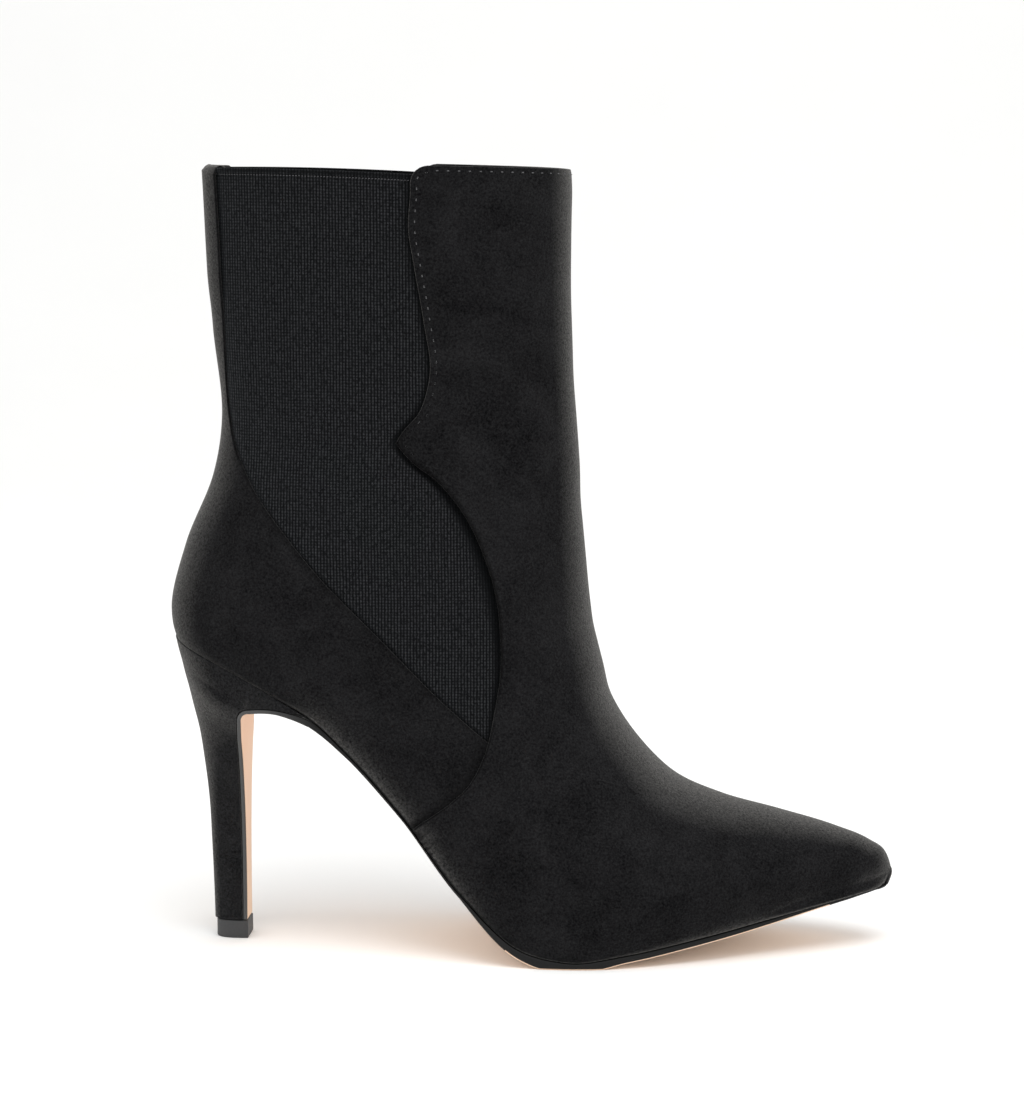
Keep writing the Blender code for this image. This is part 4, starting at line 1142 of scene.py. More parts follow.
def make_heel(finish):
    """The covered heel: its top edge follows the seat, dips to the wings and lies on the counter."""
    around = np.linspace(-1, 1, HEEL_COLUMNS_AROUND)
    reach = np.abs(around)
    top = SEAT_ROW + (BACK_ROW - SEAT_ROW) * ramp(reach, BACK_ARC, HEEL_ARC_SHARE)
    top = top + (WING_ROW - SEAT_ROW) * (1 - ramp(reach, HEEL_ARC_SHARE, 1.0))
    down = np.linspace(0, 1, HEEL_ROWS) ** ROW_CROWD
    rows = top[None, :] + (HEEL_LAST - top)[None, :] * down[:, None]
    side = heel_points(rows, around[None, :])
    outward = np.gradient(side[0], axis=0)[:, [1, 0]] * (-1.0, 1.0)
    outward = np.column_stack([outward / np.linalg.norm(outward, axis=1)[:, None], np.zeros(len(around))])
    offset = wrap_offset(side[0], outward) * ramp(reach, *WRAP_REACH)
    window = np.hanning(2 * WRAP_SMOOTH + 3)[1:-1]
    offset = np.convolve(np.pad(offset, WRAP_SMOOTH, mode="edge"), window / window.sum(), "valid")
    steps = np.linalg.norm(np.diff(side, axis=0), axis=2)
    below = np.concatenate([np.zeros((1, len(around))), np.cumsum(steps, axis=0)])
    side = side + (ramp(below, 0.0, WRAP_FADE) * offset)[..., None] * outward
    blend = np.linspace(0, 1, BREAST_COLUMNS + 2)[1:-1]
    breast = side[:, -1:] + (side[:, :1] - side[:, -1:]) * blend[None, :, None]
    body = np.concatenate([side, breast], axis=1)
    middle = body.mean(axis=1, keepdims=True)
    inward = (middle - body) * (1.0, 1.0, 0.0)
    inward /= np.linalg.norm(inward, axis=2, keepdims=True) + 1e-12
    rim = []
    for turn in HEEL_RIM_TURNS:
        drop = np.array([0, 0, RIM_ROUND * (1 - math.sin(turn))])
        rim.append(body[0] + inward[0] * RIM_ROUND * (1 - math.cos(turn)) - drop)
    cup = body[CUP_ROW] + inward[CUP_ROW] * CUP_INSET
    well = body[WELL_ROW] + (middle[WELL_ROW] - body[WELL_ROW]) * WELL_SHARE
    body[0] = body[0] - np.array([0, 0, RIM_ROUND])
    rings = np.concatenate([[well, cup], rim, body])
    points, quads, caps = tube(swing(rings))
    new_piece("heel_cover", points, quads, finish, ("heel",), caps=caps)


LIFT_COLUMNS = 61
LIFT_FRONT_COLUMNS = 9
LIFT_EDGE = 0.45 * MM
LIFT_TURNS = np.radians((0, 30, 60, 90))


def make_top_lift(finish):
    """The tip: a superellipse back, straight sides and front, with rounded rims above and below."""
    around = np.linspace(-1, 1, LIFT_COLUMNS)
    reach = np.abs(around)
    turn = np.clip(reach / HEEL_ARC_SHARE, 0, 1) * math.pi / 2
    straight = np.clip((reach - HEEL_ARC_SHARE) / (1 - HEEL_ARC_SHARE), 0, 1)
    depth = TOP_LIFT_FRONT - TOP_LIFT_BACK
    arc = HEEL[-1][-1]
    x = TOP_LIFT_BACK + depth * (arc * (1 - np.cos(turn) ** (2 / HEEL_ROUND)) + (1 - arc) * straight)
    y = TOP_LIFT_HALF * np.sign(around) * np.sin(turn) ** (2 / HEEL_ROUND)
    front = np.linspace(1, -1, LIFT_FRONT_COLUMNS + 2)[1:-1]
    x = np.concatenate([x, np.full(len(front), TOP_LIFT_FRONT)])
    y = np.concatenate([y, front * TOP_LIFT_HALF])
    middle = np.array([(TOP_LIFT_BACK + TOP_LIFT_FRONT) / 2, 0.0])
    plan = np.stack([x, y], axis=1)
    low = [(LIFT_EDGE * (1 - math.sin(turn)), LIFT_EDGE * (1 - math.cos(turn))) for turn in LIFT_TURNS]
    high = [(inset, TOP_LIFT_HEIGHT - height) for inset, height in low[::-1]]
    rings = []
    for inset, height in low + high:
        shrink = 1 - inset / TOP_LIFT_HALF
        ring = middle + (plan - middle) * shrink
        rings.append(np.column_stack([ring, np.full(len(ring), height)]))
    points, quads, caps = tube(swing(np.stack(rings)))
    new_piece("top_lift_tip", points, quads, finish, ("top_lift",), caps=caps)


# Stitches

STITCH_ALONG = 9
STITCH_AROUND = 8
# Rise of a stitch's middle over its row and fall to its ends, in radii of the thread
STITCH_RISE = 0.75
STITCH_FALL = 1.5
PULLED_IN = 0.62
PULLED_HEIGHTS = (155.0 * MM, 185.0 * MM)
TOP_ROW_INSET = 1.5 * MM
TOP_ROW_START = 0.02
TOP_ROW_POINTS = 60
STITCH_SINK = 0.12 * MM
# Steps of place down from the rim, in which the top row's distance is looked for
RIM_STEPS = np.arange(0, 0.3, 0.001)[:, None]
STITCHES_FROM = 98.0 * MM
LOOP_DROP = 0.35 * MM
# Length and thickness of a hem loop, in rib pitches
LOOP_LENGTH = 0.6
LOOP_THICKNESS = 0.35
NORMAL_STEP = 0.01


def stitch_run(path, normal, pitch, length, thickness):
    """Stitches along a path: capsules of thread, each raised in its middle and sunk at its two ends.

    Low on the shaft they are pulled in and show less.
    """
    knots = chord_knots(path)
    count = int(knots[-1] / pitch)
    centre_at = (np.arange(count) + 0.5) * knots[-1] / count

    def read(values, at):
        """Values of the path's points at any lengths along it."""
        return np.stack([np.interp(at, knots, values[:, axis]) for axis in range(3)], axis=-1)

    along = np.linspace(-1, 1, STITCH_ALONG)
    turn = np.linspace(0, 2 * math.pi, STITCH_AROUND + 1)
    at = centre_at[:, None] + along[None, :] * length / 2
    spine = read(path, at)
    up = read(normal, at)
    up /= np.linalg.norm(up, axis=-1, keepdims=True)
    run = np.gradient(spine, axis=1)
    run /= np.linalg.norm(run, axis=-1, keepdims=True)
    across = np.cross(run, up)
    radius = thickness / 2 * (1 - PULLED_IN * ramp(spine[:, :1, 2], *PULLED_HEIGHTS))
    spine = spine + up * (radius * (STITCH_RISE - STITCH_FALL * along**2))[..., None]
    girth = (radius * np.sqrt(np.clip(1 - along**4, 0, 1)))[..., None, None]
    ring = (up[:, :, None] * np.cos(turn)[None, None, :, None]
            + across[:, :, None] * np.sin(turn)[None, None, :, None])
    return spine[:, :, None] + ring * girth


def joined_grids(grids):
    """Points and quads of many equal grids in one mesh."""
    count, rows, columns = grids.shape[:3]
    index = np.arange(rows * columns).reshape(rows, columns)
    quads = grid_faces(index, False)
    starts = np.arange(count)[:, None, None] * rows * columns
    return grids.reshape(-1, 3), (quads[None] + starts).reshape(-1, 4)


def surface_normals(place, ring, sign):
    """Outward normals of the last along a line of places and rings."""
    along = form(place + NORMAL_STEP, sign * ring) - form(place - NORMAL_STEP, sign * ring)
    across = form(place, sign * (ring + NORMAL_STEP)) - form(place, sign * (ring - NORMAL_STEP))
    normal = sign * np.cross(along, across)
    return normal / np.linalg.norm(normal, axis=-1, keepdims=True)


def hem_line(sign):
    """Line of the elastic's face just under its hem, with its outward normals."""
    outer = gore_grids(sign)[0]
    row = GORE_ROWS + round((1 - (HEM_HEIGHT + LOOP_DROP) / GORE_HEM_ZONE) * GORE_HEM_ROWS)
    rise, run = np.gradient(outer, axis=(0, 1))
    normal = -sign * np.cross(rise[row], run[row])
    return outer[row], normal / np.linalg.norm(normal, axis=-1, keepdims=True)


def make_stitches(settings, finish):
    """Stitches up the front panel's rear edge and along the collar, and loops under the elastics' hem."""
    rows = front_rows()
    on_edge = rows.ring < 1
    place, ring = rows.path(settings.stitch_inset / rows.unit())
    place = place[on_edge, 0]
    ring = ring[on_edge, 0]
    top_share = np.tile(np.linspace(TOP_ROW_START, 1, TOP_ROW_POINTS), (len(rows.place), 1))
    top_place, top_ring = (values[-1] for values in rows.path(top_share))
    walk = form(top_place - RIM_STEPS, top_ring)
    below_rim = np.linalg.norm(walk - walk[0], axis=-1)
    top_place = top_place - RIM_STEPS[np.argmax(below_rim > TOP_ROW_INSET, axis=0), 0]
    edge = form(place, ring)
    top = form(top_place, top_ring)
    border = form(rows.place[on_edge], rows.ring[on_edge])
    rising = (border[:, 2] > STITCHES_FROM) & (border[:, 2] < border[-1, 2] - settings.stitch_inset)
    ahead = top[:, 0] > edge[rising][-1, 0] + settings.stitch_inset / 2
    place = np.concatenate([place[rising], top_place[ahead]])
    ring = np.concatenate([ring[rising], top_ring[ahead]])
    trough = np.concatenate([np.full(rising.sum(), STITCH_SINK), np.zeros(ahead.sum())])
    runs = []
    for sign in (-1, 1):
        sink = trough + collar_ease(form(place, sign * ring))
        runs.append(stitch_run(form(place, sign * ring, sink), surface_normals(place, ring, sign),
                               settings.stitch_pitch, settings.stitch_length, settings.thread_thickness))
        runs.append(stitch_run(*hem_line(sign), settings.rib_pitch, LOOP_LENGTH * settings.rib_pitch,
                               LOOP_THICKNESS * settings.rib_pitch))
    points, quads = joined_grids(np.concatenate(runs))
    new_piece("panel_stitches", points, quads, finish)


# Materials

# Sizes of the patterns
FIBRE_SIZE = 0.7 * MM
BRUSH_SIZE = 14.0 * MM
WANDER_SIZE = 0.8 * MM
CLOUD_SIZE = 22.0 * MM
HEM_FADE = 0.2 * MM
# Blender's wave texture repeats after this length at a scale of 1
WAVE_PERIOD = 2 * math.pi / 20


def add_node(tree, kind, settings=None, links=None):
    """Add a node, set its inputs or attributes by name and link sockets into its inputs."""
    made = tree.nodes.new(kind)
    for name, value in (settings or {}).items():
        if name in made.inputs:
            made.inputs[name].default_value = value
        else:
            setattr(made, name, value)
    connect(tree, made, links or {})
    return made


def connect(tree, node, links):
    """Link sockets into a node's inputs, by name or by number."""
    for name, socket in links.items():
        tree.links.new(socket, node.inputs[name])


def set_ramp(node, *stops):
    """Set the two stops of a colour ramp, each a position and a colour."""
    for element, (position, colour) in zip(node.color_ramp.elements, stops):
        element.position = position
        element.color = (*colour, 1.0)


def start_material(name, settings):
    """A material with a Principled shader whose constant values are set on its own sockets."""
    material = bpy.data.materials.new(name)
    material.use_nodes = True
    tree = material.node_tree
    tree.nodes.clear()
    shader = add_node(tree, "ShaderNodeBsdfPrincipled", settings)
    add_node(tree, "ShaderNodeOutputMaterial", None, {"Surface": shader.outputs["BSDF"]})
    where = add_node(tree, "ShaderNodeTexCoord")
    return material, tree, shader, where


def microsuede(name, colours, light):
    """Polyester microsuede: a raised nap of short black fibres, drawn coarser than real ones.

    The eye gets no gloss, a grain of light and dark fibres and faint brushed patches. A painted sheen
    lightens the colour where the nap is seen edge on and in a band at the waist, and painted shade
    darkens the folds, the lower edge and the suede beside the front panel.
    """
    material, tree, shader, where = start_material(name, {
        "Specular IOR Level": 0.04, "Sheen Weight": 0.1, "Sheen Roughness": 0.4,
        "Sheen Tint": (1.0, 0.99, 0.97, 1.0)})
    spot = {"Vector": where.outputs["Object"]}
    fibre = add_node(tree, "ShaderNodeTexNoise",
                     {"Scale": 1 / FIBRE_SIZE, "Detail": 4.0, "Roughness": 0.75}, spot)
    brush = add_node(tree, "ShaderNodeTexNoise",
                     {"Scale": 1 / BRUSH_SIZE, "Detail": 3.0, "Distortion": 0.6}, spot)
    nap = add_node(tree, "ShaderNodeMix", {"data_type": "FLOAT", "Factor": 0.25},
                   {"A": fibre.outputs["Fac"], "B": brush.outputs["Fac"]})
    tone = add_node(tree, "ShaderNodeValToRGB", None, {"Fac": nap.outputs["Result"]})
    set_ramp(tone, (0.36, colours.suede_dark), (0.64, light))
    # Painted sheen: where the surface is seen edge on, the colour goes to suede_sheen
    facing = add_node(tree, "ShaderNodeLayerWeight", {"Blend": 0.5})
    edge_on = add_node(tree, "ShaderNodeMapRange", {"From Min": 0.24, "From Max": 1.0},
                       {"Value": facing.outputs["Facing"]})
    sheen_tone = add_node(tree, "ShaderNodeValToRGB", None, {"Fac": fibre.outputs["Fac"]})
    set_ramp(sheen_tone, (0.3, colours.suede_light), (0.7, colours.suede_sheen))
    # Painted shade from the seam_shade mark, which also holds back the painted sheen, and the painted
    # sheen band
    shade_mark = add_node(tree, "ShaderNodeAttribute", {"attribute_name": "seam_shade"})
    sheen_band = add_node(tree, "ShaderNodeAttribute", {"attribute_name": "painted_sheen_band"})
    raised = add_node(tree, "ShaderNodeMath", {"operation": "ADD", "use_clamp": True},
                      {0: edge_on.outputs["Result"], 1: sheen_band.outputs["Fac"]})
    shown = add_node(tree, "ShaderNodeMapRange", {"From Min": 1.0, "From Max": 0.0, "To Min": 0.0},
                     {"Value": shade_mark.outputs["Fac"], "To Max": raised.outputs["Value"]})
    sheen_mixed = add_node(tree, "ShaderNodeMix", {"data_type": "RGBA"},
                      {"Factor": shown.outputs["Result"], "A": tone.outputs["Color"],
                       "B": sheen_tone.outputs["Color"]})
    rough = add_node(tree, "ShaderNodeMapRange", {"To Min": 0.82, "To Max": 1.0},
                     {"Value": brush.outputs["Fac"]})
    bump = add_node(tree, "ShaderNodeBump", {"Strength": 0.9, "Distance": 0.3 * MM},
                    {"Height": fibre.outputs["Fac"]})
    # Painted shade: the colour darkens where the seam_shade mark is set
    sunk = add_node(tree, "ShaderNodeMapRange", {"To Min": 1.0, "To Max": 0.45},
                    {"Value": shade_mark.outputs["Fac"]})
    shaded = add_node(tree, "ShaderNodeHueSaturation", None,
                      {"Color": sheen_mixed.outputs["Result"], "Value": sunk.outputs["Result"]})
    connect(tree, shader, {"Base Color": shaded.outputs["Color"], "Roughness": rough.outputs["Result"],
                           "Normal": bump.outputs["Normal"]})
    return material


def woven_elastic(colours, sizes):
    """Woven stretch cloth over rubber: ribs up the panel crossed by picks, drawn coarser than real ones.

    The eye gets a fine grid of pale dots where the covering thread rides up, and a soft sheen.
    """
    material, tree, shader, where = start_material("black_woven_elastic", {
        "Specular IOR Level": 0.06, "Sheen Weight": 0.05, "Sheen Roughness": 0.5,
        "Sheen Tint": (0.85, 0.92, 1.0, 1.0)})
    uneven_wave = {"Distortion": 0.5, "Detail": 1.0, "Detail Scale": 0.4}
    ribs, picks = (add_node(tree, "ShaderNodeTexWave",
                            {"Scale": WAVE_PERIOD / pitch, "bands_direction": axis, **uneven_wave},
                            {"Vector": where.outputs["UV"]})
                   for pitch, axis in ((sizes.rib_pitch, "X"), (sizes.pick_pitch, "Y")))
    broken = add_node(tree, "ShaderNodeMapRange", {"To Min": 0.35, "To Max": 1.0},
                      {"Value": picks.outputs["Fac"]})
    dots = add_node(tree, "ShaderNodeMath", {"operation": "MULTIPLY"},
                    {0: ribs.outputs["Fac"], 1: broken.outputs["Result"]})
    wander = add_node(tree, "ShaderNodeTexNoise",
                      {"Scale": 1 / WANDER_SIZE, "Detail": 2.0, "Roughness": 0.8},
                      {"Vector": where.outputs["Object"]})
    uneven = add_node(tree, "ShaderNodeMapRange", {"From Min": 0.35, "From Max": 0.65, "To Min": 0.1},
                      {"Value": wander.outputs["Fac"]})
    across = add_node(tree, "ShaderNodeSeparateXYZ", None, {"Vector": where.outputs["UV"]})
    hem_height = GORE_TOP_FRONT - HEM_HEIGHT
    hem = add_node(tree, "ShaderNodeMapRange", {"From Min": hem_height - HEM_FADE, "From Max": hem_height,
                                                "To Min": 1.0, "To Max": 0.45},
                   {"Value": across.outputs["Y"]})
    shade = add_node(tree, "ShaderNodeMath", {"operation": "MULTIPLY"},
                     {0: uneven.outputs["Result"], 1: hem.outputs["Result"]})
    lit = add_node(tree, "ShaderNodeMath", {"operation": "MULTIPLY"},
                   {0: dots.outputs["Value"], 1: shade.outputs["Value"]})
    tone = add_node(tree, "ShaderNodeValToRGB", None, {"Fac": lit.outputs["Value"]})
    set_ramp(tone, (0.02, colours.elastic_dark), (0.6, colours.elastic_light))
    bump = add_node(tree, "ShaderNodeBump", {"Strength": 0.6, "Distance": 0.2 * MM},
                    {"Height": dots.outputs["Value"]})
    rough = add_node(tree, "ShaderNodeMapRange", {"To Min": 0.75, "To Max": 0.55},
                     {"Value": dots.outputs["Value"]})
    # Painted shade: the colour goes to elastic_dark beside the seams
    painted_seam_shade = add_node(tree, "ShaderNodeAttribute", {"attribute_name": "seam_shade"})
    shaded = add_node(tree, "ShaderNodeMix", {"data_type": "RGBA", "A": (*colours.elastic_dark, 1.0)},
                      {"Factor": painted_seam_shade.outputs["Fac"], "B": tone.outputs["Color"]})
    connect(tree, shader, {"Base Color": shaded.outputs["Result"], "Roughness": rough.outputs["Result"],
                           "Normal": bump.outputs["Normal"]})
    return material


def grained(name, colour, deep, roughness, grain, height, settings):
    """A calendered or moulded surface: a fine even grain that varies its colour, gloss and height."""
    material, tree, shader, where = start_material(name, settings)
    pores = add_node(tree, "ShaderNodeTexNoise", {"Scale": 1 / grain, "Detail": 4.0, "Roughness": 0.6},
                     {"Vector": where.outputs["Object"]})
    cloud = add_node(tree, "ShaderNodeTexNoise", {"Scale": 1 / CLOUD_SIZE, "Detail": 2.0},
                     {"Vector": where.outputs["Object"]})
    mixed = add_node(tree, "ShaderNodeMix", {"data_type": "FLOAT", "Factor": 0.5},
                     {"A": pores.outputs["Fac"], "B": cloud.outputs["Fac"]})
    tone = add_node(tree, "ShaderNodeValToRGB", None, {"Fac": mixed.outputs["Result"]})
    set_ramp(tone, (0.3, deep), (0.65, colour))
    rough = add_node(tree, "ShaderNodeMapRange", {"To Min": roughness - 0.08, "To Max": roughness + 0.08},
                     {"Value": pores.outputs["Fac"]})
    bump = add_node(tree, "ShaderNodeBump", {"Strength": 0.35, "Distance": height},
                    {"Height": pores.outputs["Fac"]})
    connect(tree, shader, {"Base Color": tone.outputs["Color"], "Roughness": rough.outputs["Result"],
                           "Normal": bump.outputs["Normal"]})
    return material


def edge_paint(name, colours):
    """Edge paint: a thin even film.

    The eye gets a satin light, black along the sole and greyer round the turn and down the flap, where the
    grey is a painted sheen.
    """
    material, tree, shader, where = start_material(name, {"Specular IOR Level": 0.25, "Roughness": 0.55})
    along = add_node(tree, "ShaderNodeSeparateXYZ", None, {"Vector": where.outputs["Object"]})
    # Painted sheen: the colour fades from paint_sheen to edge_paint along the sole
    whole = add_node(tree, "ShaderNodeMapRange", {"From Min": LAST_PLACE[0] + PAINT_SHEEN_REACH[0],
                                                  "From Max": LAST_PLACE[0] + PAINT_SHEEN_REACH[1]},
                     {"Value": along.outputs["X"]})
    tone = add_node(tree, "ShaderNodeMix", {"data_type": "RGBA", "A": (*colours.paint_sheen, 1.0),
                                            "B": (*colours.edge_paint, 1.0)},
                    {"Factor": whole.outputs["Result"]})
    connect(tree, shader, {"Base Color": tone.outputs["Result"]})
    return material


def finish_of(name):
    """A finish of the boot, made the first time it is asked for."""
    if name in bpy.data.materials:
        return bpy.data.materials[name]
    colours = bpy.context.scene.boot_colours
    sizes = bpy.context.scene.boot_sizes
    if name == "black_microsuede":
        return microsuede(name, colours, colours.suede_light)
    # The heel's copy of the suede has a lighter nap colour: painted bounce light from the floor
    if name == "heel_microsuede_bounce_lit":
        return microsuede(name, colours, colours.heel_bounce_tone)
    if name == "black_edge_paint":
        return edge_paint(name, colours)
    if name == "black_woven_elastic":
        return woven_elastic(colours, sizes)
    # Polyester thread is smooth and round, so each stitch catches a small light; its grey colour adds a
    # painted
    #     # highlight to that.
    # Sole leather, lining and sock are coated and pressed, so they look even with a very fine grain.
    # Top-lift rubber is moulded hard and scuffs to a matt grey.
    # Each recipe: colour, colour in the grain, roughness, size and height of the grain, further settings.
    recipes = {
        "polyester_thread": (colours.thread, colours.thread_deep, 0.32, 0.15 * MM, 0.02 * MM,
                             {"Specular IOR Level": 0.5}),
        "nude_sole_leather": (colours.sole, colours.sole_deep, 0.5, 0.4 * MM, 0.03 * MM,
                              {"Specular IOR Level": 0.4}),
        "black_lining_textile": (colours.lining, colours.suede_dark, 0.85, 0.35 * MM, 0.04 * MM,
                                 {"Specular IOR Level": 0.2, "Sheen Weight": 0.1}),
        "nude_sock_microfibre": (colours.sock, colours.sock_deep, 0.8, 0.35 * MM, 0.04 * MM,
                                 {"Specular IOR Level": 0.3, "Sheen Weight": 0.15}),
        "top_lift_rubber": (colours.lift, colours.lift_deep, 0.55, 0.6 * MM, 0.05 * MM,
                            {"Specular IOR Level": 0.5}),
    }
    return grained(name, *recipes[name])


# Settings and operators

def colour_property(name, description, code):
    """A colour setting whose default is an sRGB hex colour."""
    return bpy.props.FloatVectorProperty(name=name, description=description, subtype="COLOR", size=3,
                                         min=0.0, max=1.0, default=linear(code))


def length_property(name, description, default):
    """A length setting in metres."""
    return bpy.props.FloatProperty(name=name, description=description, unit="LENGTH", default=default,
                                   min=0.01 * MM, precision=5)


class BootSizes(bpy.types.PropertyGroup):
    """Sizes of the fine work on the boot"""
    edge_fold: length_property("Edge fold", "Radius of the front panel's folded rear edge", 0.35 * MM)
    stitch_inset: length_property("Stitch inset", "From the panel's edge to its row of stitches", 2.0 * MM)
    stitch_pitch: length_property("Stitch pitch", "From one stitch to the next", 3.35 * MM)
    stitch_length: length_property("Stitch length", "Length of thread that shows", 0.75 * MM)
    thread_thickness: length_property("Thread", "Thickness of the sewing thread", 0.44 * MM)
    rib_pitch: length_property("Rib pitch", "Spacing of the elastic's upright ribs", 1.0 * MM)
    pick_pitch: length_property("Pick pitch", "Spacing of the elastic's level picks", 0.95 * MM)


class BootColours(bpy.types.PropertyGroup):
    """Colours of the boot's materials"""
    suede_dark: colour_property("Suede in the nap", "Suede between its fibres", "020203")
    suede_light: colour_property("Suede on the nap", "Suede on the tips of its fibres", "242425")
    # Painted sheen: the suede's colour where it is seen edge on and in the band at the waist
    suede_sheen: colour_property("Suede edge on", "Tips of the nap where it is seen edge on", "84827f")
    elastic_dark: colour_property("Elastic in the weave", "Elastic between its threads", "030405")
    elastic_light: colour_property("Elastic on the weave", "Elastic on its raised threads", "2e2f31")
    # Painted highlight: the thread's grey stands in for the glints of its stitches
    thread: colour_property("Thread", "Sewing thread", "606062")
    thread_deep: colour_property("Thread in the twist", "Sewing thread between its strands", "343436")
    # Painted light: lighter than suede_light, for the floor's bounce light on the heel
    heel_bounce_tone: colour_property("Heel suede on the nap", "Heel cover on the tips of its fibres", "2b2b2c")
    edge_paint: colour_property("Edge paint", "Painted edge of the sole", "121212")
    # Painted sheen: the grey of the edge paint round the turn and down the flap
    paint_sheen: colour_property("Worn edge paint", "Painted edge of the flap on the heel", "4c4c4c")
    sole: colour_property("Sole", "Underside of the sole and heel flap", "f5d8bf")
    sole_deep: colour_property("Sole in the grain", "Sole in its pores", "edcbae")
    lining: colour_property("Lining", "Textile inside the shaft and vamp", "332e2a")
    sock: colour_property("Sock", "Insole sock", "c8a588")
    sock_deep: colour_property("Sock in the grain", "Insole sock in its pores", "b08d71")
    lift: colour_property("Top lift", "Rubber tip of the heel", "3e3e3f")
    lift_deep: colour_property("Top lift in the grain", "Rubber in its pores", "2c2c2d")


class StudioSettings(bpy.types.PropertyGroup):
    """Floor and light"""
    floor: colour_property("Floor", "Pale paper floor", "fbfbfa")
    surround: bpy.props.FloatProperty(name="Surround", description="Strength of the white surround",
                                      default=0.75, min=0.0)
    key: bpy.props.FloatProperty(name="Key light", description="Power of the light over the front",
                                 unit="POWER", default=27.5, min=0.0)


class BOOT_OT_front_panel(bpy.types.Operator):
    """Make the suede panel from the toe to the collar"""
    bl_idname = "boot.front_panel"
    bl_label = "Front panel"

    def execute(self, context):
        make_front_panel(context.scene.boot_sizes, finish_of("black_microsuede"))
        return {"FINISHED"}


class BOOT_OT_counter(bpy.types.Operator):
    """Make the suede panel round the heel with its strip up the back"""
    bl_idname = "boot.counter"
    bl_label = "Counter"

    def execute(self, context):
        make_counter(finish_of("black_microsuede"))
        return {"FINISHED"}


class BOOT_OT_elastics(bpy.types.Operator):
    """Make the two woven elastic sides"""
    bl_idname = "boot.elastics"
    bl_label = "Elastic sides"

    def execute(self, context):
        for name, sign in (("gore_outer", -1), ("gore_inner", 1)):
            make_gore(name, sign, finish_of("black_woven_elastic"))
        return {"FINISHED"}


class BOOT_OT_inside(bpy.types.Operator):
    """Make the lining and the insole sock"""
    bl_idname = "boot.inside"
    bl_label = "Lining and sock"

    def execute(self, context):
        make_lining(finish_of("black_lining_textile"))
        make_sock(finish_of("nude_sock_microfibre"))
        return {"FINISHED"}


class BOOT_OT_outsole(bpy.types.Operator):
    """Make the outsole with its flap down the heel"""
    bl_idname = "boot.outsole"
    bl_label = "Outsole"

    def execute(self, context):
        make_outsole(finish_of("nude_sole_leather"), finish_of("black_edge_paint"))
        return {"FINISHED"}


class BOOT_OT_heel(bpy.types.Operator):
    """Make the covered heel and its top lift"""
    bl_idname = "boot.heel"
    bl_label = "Heel and top lift"

    def execute(self, context):
        make_heel(finish_of("heel_microsuede_bounce_lit"))
        make_top_lift(finish_of("top_lift_rubber"))
        return {"FINISHED"}


class BOOT_OT_stitches(bpy.types.Operator):
    """Sew the front panel's edges"""
    bl_idname = "boot.stitches"
    bl_label = "Stitches"

    def execute(self, context):
        make_stitches(context.scene.boot_sizes, finish_of("polyester_thread"))
        return {"FINISHED"}


# The photo's view of the boot: distance and pitch of the camera and where it aims, and its focal length
# in pixels of a frame 1106 high
CAMERA_DISTANCE = 985.0 * MM
CAMERA_TURN = math.radians(2.0)
CAMERA_PITCH = math.radians(7.82)
CAMERA_HEIGHT = 262.4 * MM
CAMERA_AIM_X = 110.0 * MM
FOCAL_PIXELS = 3080.0
FRAME_PIXELS = 1106.0
SENSOR = 36.0
FLOOR_HALF = 2.4
FLOOR_BACK = 1.2
FLOOR_ROWS = 12
FLOOR_COLUMNS = 9
SWEEP_RADIUS = 0.9
SWEEP_ROWS = 24
PAPER_MOTTLE = 0.98
KEY_PLACE = (0.15, -0.55, 1.9)
KEY_AIM = (0.0, 0.0, 0.1)
KEY_SIZE = 1.4


def make_floor(colour):
    """A paper sweep: flat under the boot, then a quarter round up to an upright back."""
    turn = np.linspace(0, math.pi / 2, SWEEP_ROWS)[1:]
    flat_y = np.linspace(-FLOOR_HALF, FLOOR_BACK, FLOOR_ROWS)
    sweep_y = FLOOR_BACK + SWEEP_RADIUS * np.sin(turn)
    line_y = np.concatenate([flat_y, sweep_y, [FLOOR_BACK + SWEEP_RADIUS]])
    line_z = np.concatenate([np.zeros(FLOOR_ROWS), SWEEP_RADIUS * (1 - np.cos(turn)), [FLOOR_HALF]])
    across = np.linspace(-FLOOR_HALF, FLOOR_HALF, FLOOR_COLUMNS)
    points = np.stack(np.broadcast_arrays(across[None, :], line_y[:, None], line_z[:, None]), axis=-1)
    index = np.arange(points[..., 0].size).reshape(points.shape[:2])
    mesh = bpy.data.meshes.new("studio_floor")
    mesh.from_pydata(points.reshape(-1, 3).tolist(), [], grid_faces(index, False).tolist())
    mesh.shade_smooth()
    paper = {"Roughness": 0.9, "Specular IOR Level": 0.1}
    material, tree, shader, where = start_material("pale_paper", paper)
    mottle = add_node(tree, "ShaderNodeTexNoise", {"Scale": 9.0}, {"Vector": where.outputs["Object"]})
    tone = add_node(tree, "ShaderNodeValToRGB", None, {"Fac": mottle.outputs["Fac"]})
    set_ramp(tone, (0.0, [part * PAPER_MOTTLE for part in colour]), (1.0, colour))
    connect(tree, shader, {"Base Color": tone.outputs["Color"]})
    mesh.materials.append(material)
    floor = bpy.data.objects.new("studio_floor", mesh)
    bpy.context.scene.collection.objects.link(floor)


def add_softbox(name, place, aim, size, power):
    """A large square light that looks at a point."""
    light = bpy.data.lights.new(name, "AREA")
    light.shape = "SQUARE"
    light.size = size
    light.energy = power
    box = bpy.data.objects.new(name, light)
    box.location = place
    box.rotation_euler = (Vector(aim) - Vector(place)).to_track_quat("-Z", "Y").to_euler()
    bpy.context.scene.collection.objects.link(box)


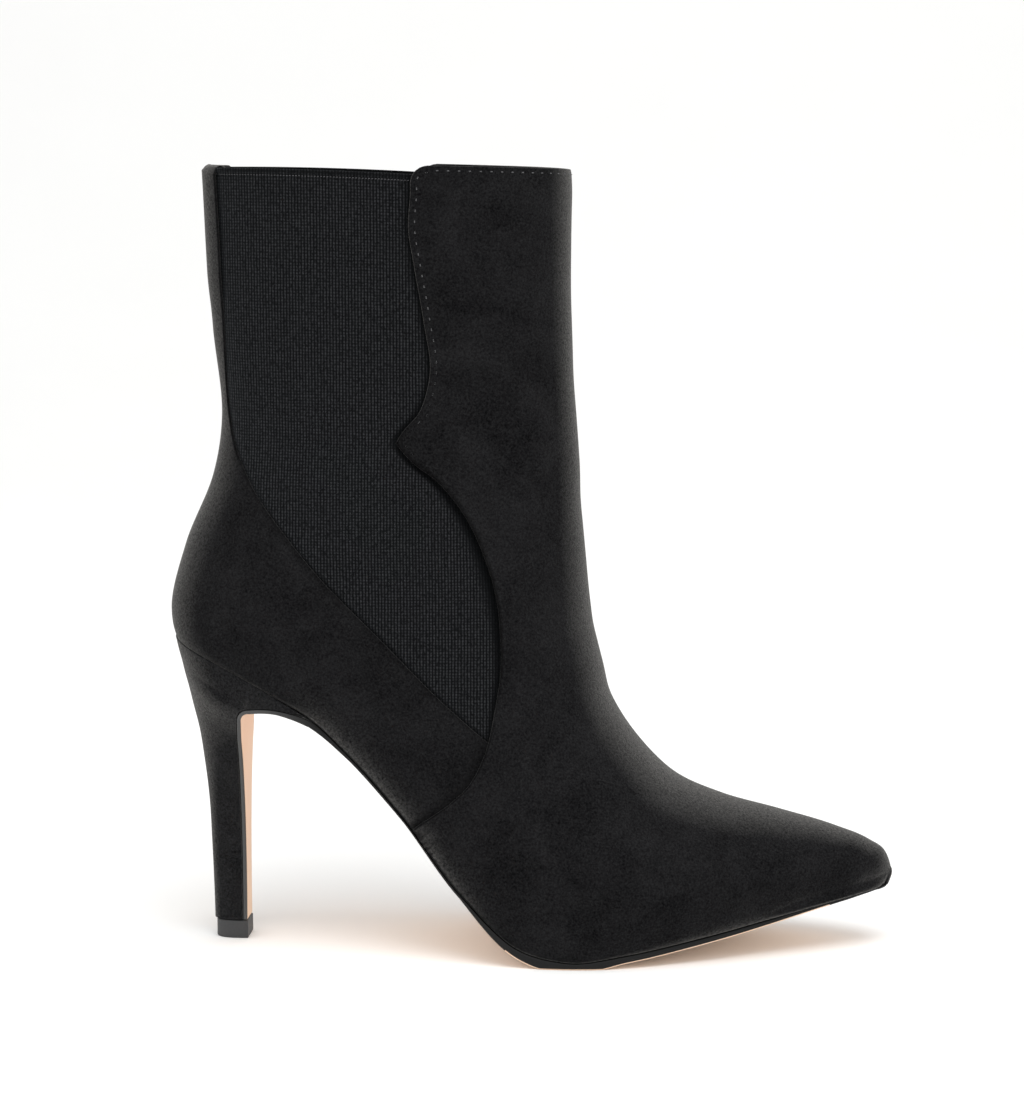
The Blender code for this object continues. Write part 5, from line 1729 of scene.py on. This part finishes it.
def make_camera():
    """The camera of the photo's view."""
    camera = bpy.data.cameras.new("photo_view")
    camera.sensor_fit = "VERTICAL"
    camera.sensor_height = SENSOR
    camera.sensor_width = SENSOR
    camera.lens = SENSOR * FOCAL_PIXELS / FRAME_PIXELS
    holder = bpy.data.objects.new("photo_view", camera)
    holder.location = (LAST_PLACE[0] + CAMERA_AIM_X + CAMERA_DISTANCE * math.sin(CAMERA_TURN),
                       LAST_PLACE[1] - CAMERA_DISTANCE * math.cos(CAMERA_TURN), CAMERA_HEIGHT)
    holder.rotation_euler = (math.pi / 2 - CAMERA_PITCH, 0.0, CAMERA_TURN)
    bpy.context.scene.collection.objects.link(holder)
    bpy.context.scene.camera = holder


class BOOT_OT_studio(bpy.types.Operator):
    """Set the floor, the lights and the camera"""
    bl_idname = "boot.studio"
    bl_label = "Studio"

    def execute(self, context):
        settings = context.scene.boot_studio
        make_floor(settings.floor)
        world = bpy.data.worlds.new("white_surround")
        world.use_nodes = True
        sky = world.node_tree.nodes["Background"]
        sky.inputs["Color"].default_value = (1.0, 1.0, 1.0, 1.0)
        sky.inputs["Strength"].default_value = settings.surround
        context.scene.world = world
        add_softbox("key_softbox", KEY_PLACE, KEY_AIM, KEY_SIZE, settings.key)
        context.scene.view_settings.view_transform = "Standard"
        make_camera()
        return {"FINISHED"}


OPERATORS = (BOOT_OT_front_panel, BOOT_OT_counter, BOOT_OT_elastics, BOOT_OT_inside, BOOT_OT_outsole,
             BOOT_OT_heel, BOOT_OT_stitches, BOOT_OT_studio)


class BOOT_PT_pieces(bpy.types.Panel):
    """Pieces of the boot in the order in which they are made"""
    bl_idname = "BOOT_PT_pieces"
    bl_label = "Ankle boot"
    bl_space_type = "VIEW_3D"
    bl_region_type = "UI"
    bl_category = "Boot"

    def draw(self, context):
        for operator in OPERATORS:
            self.layout.operator(operator.bl_idname)


SETTINGS = {"boot_sizes": BootSizes, "boot_colours": BootColours, "boot_studio": StudioSettings}


def register():
    """Add the settings, operators and panel to Blender."""
    for group in (*SETTINGS.values(), *OPERATORS, BOOT_PT_pieces):
        bpy.utils.register_class(group)
    for name, group in SETTINGS.items():
        setattr(bpy.types.Scene, name, bpy.props.PointerProperty(type=group))


def unregister():
    """Take the settings, operators and panel out again."""
    for name in SETTINGS:
        delattr(bpy.types.Scene, name)
    for group in reversed((*SETTINGS.values(), *OPERATORS, BOOT_PT_pieces)):
        bpy.utils.unregister_class(group)


def main():
    """Make all pieces in order."""
    register()
    for operator in OPERATORS:
        group, name = operator.bl_idname.split(".")
        getattr(getattr(bpy.ops, group), name)()


if __name__ == "__main__":
    main()
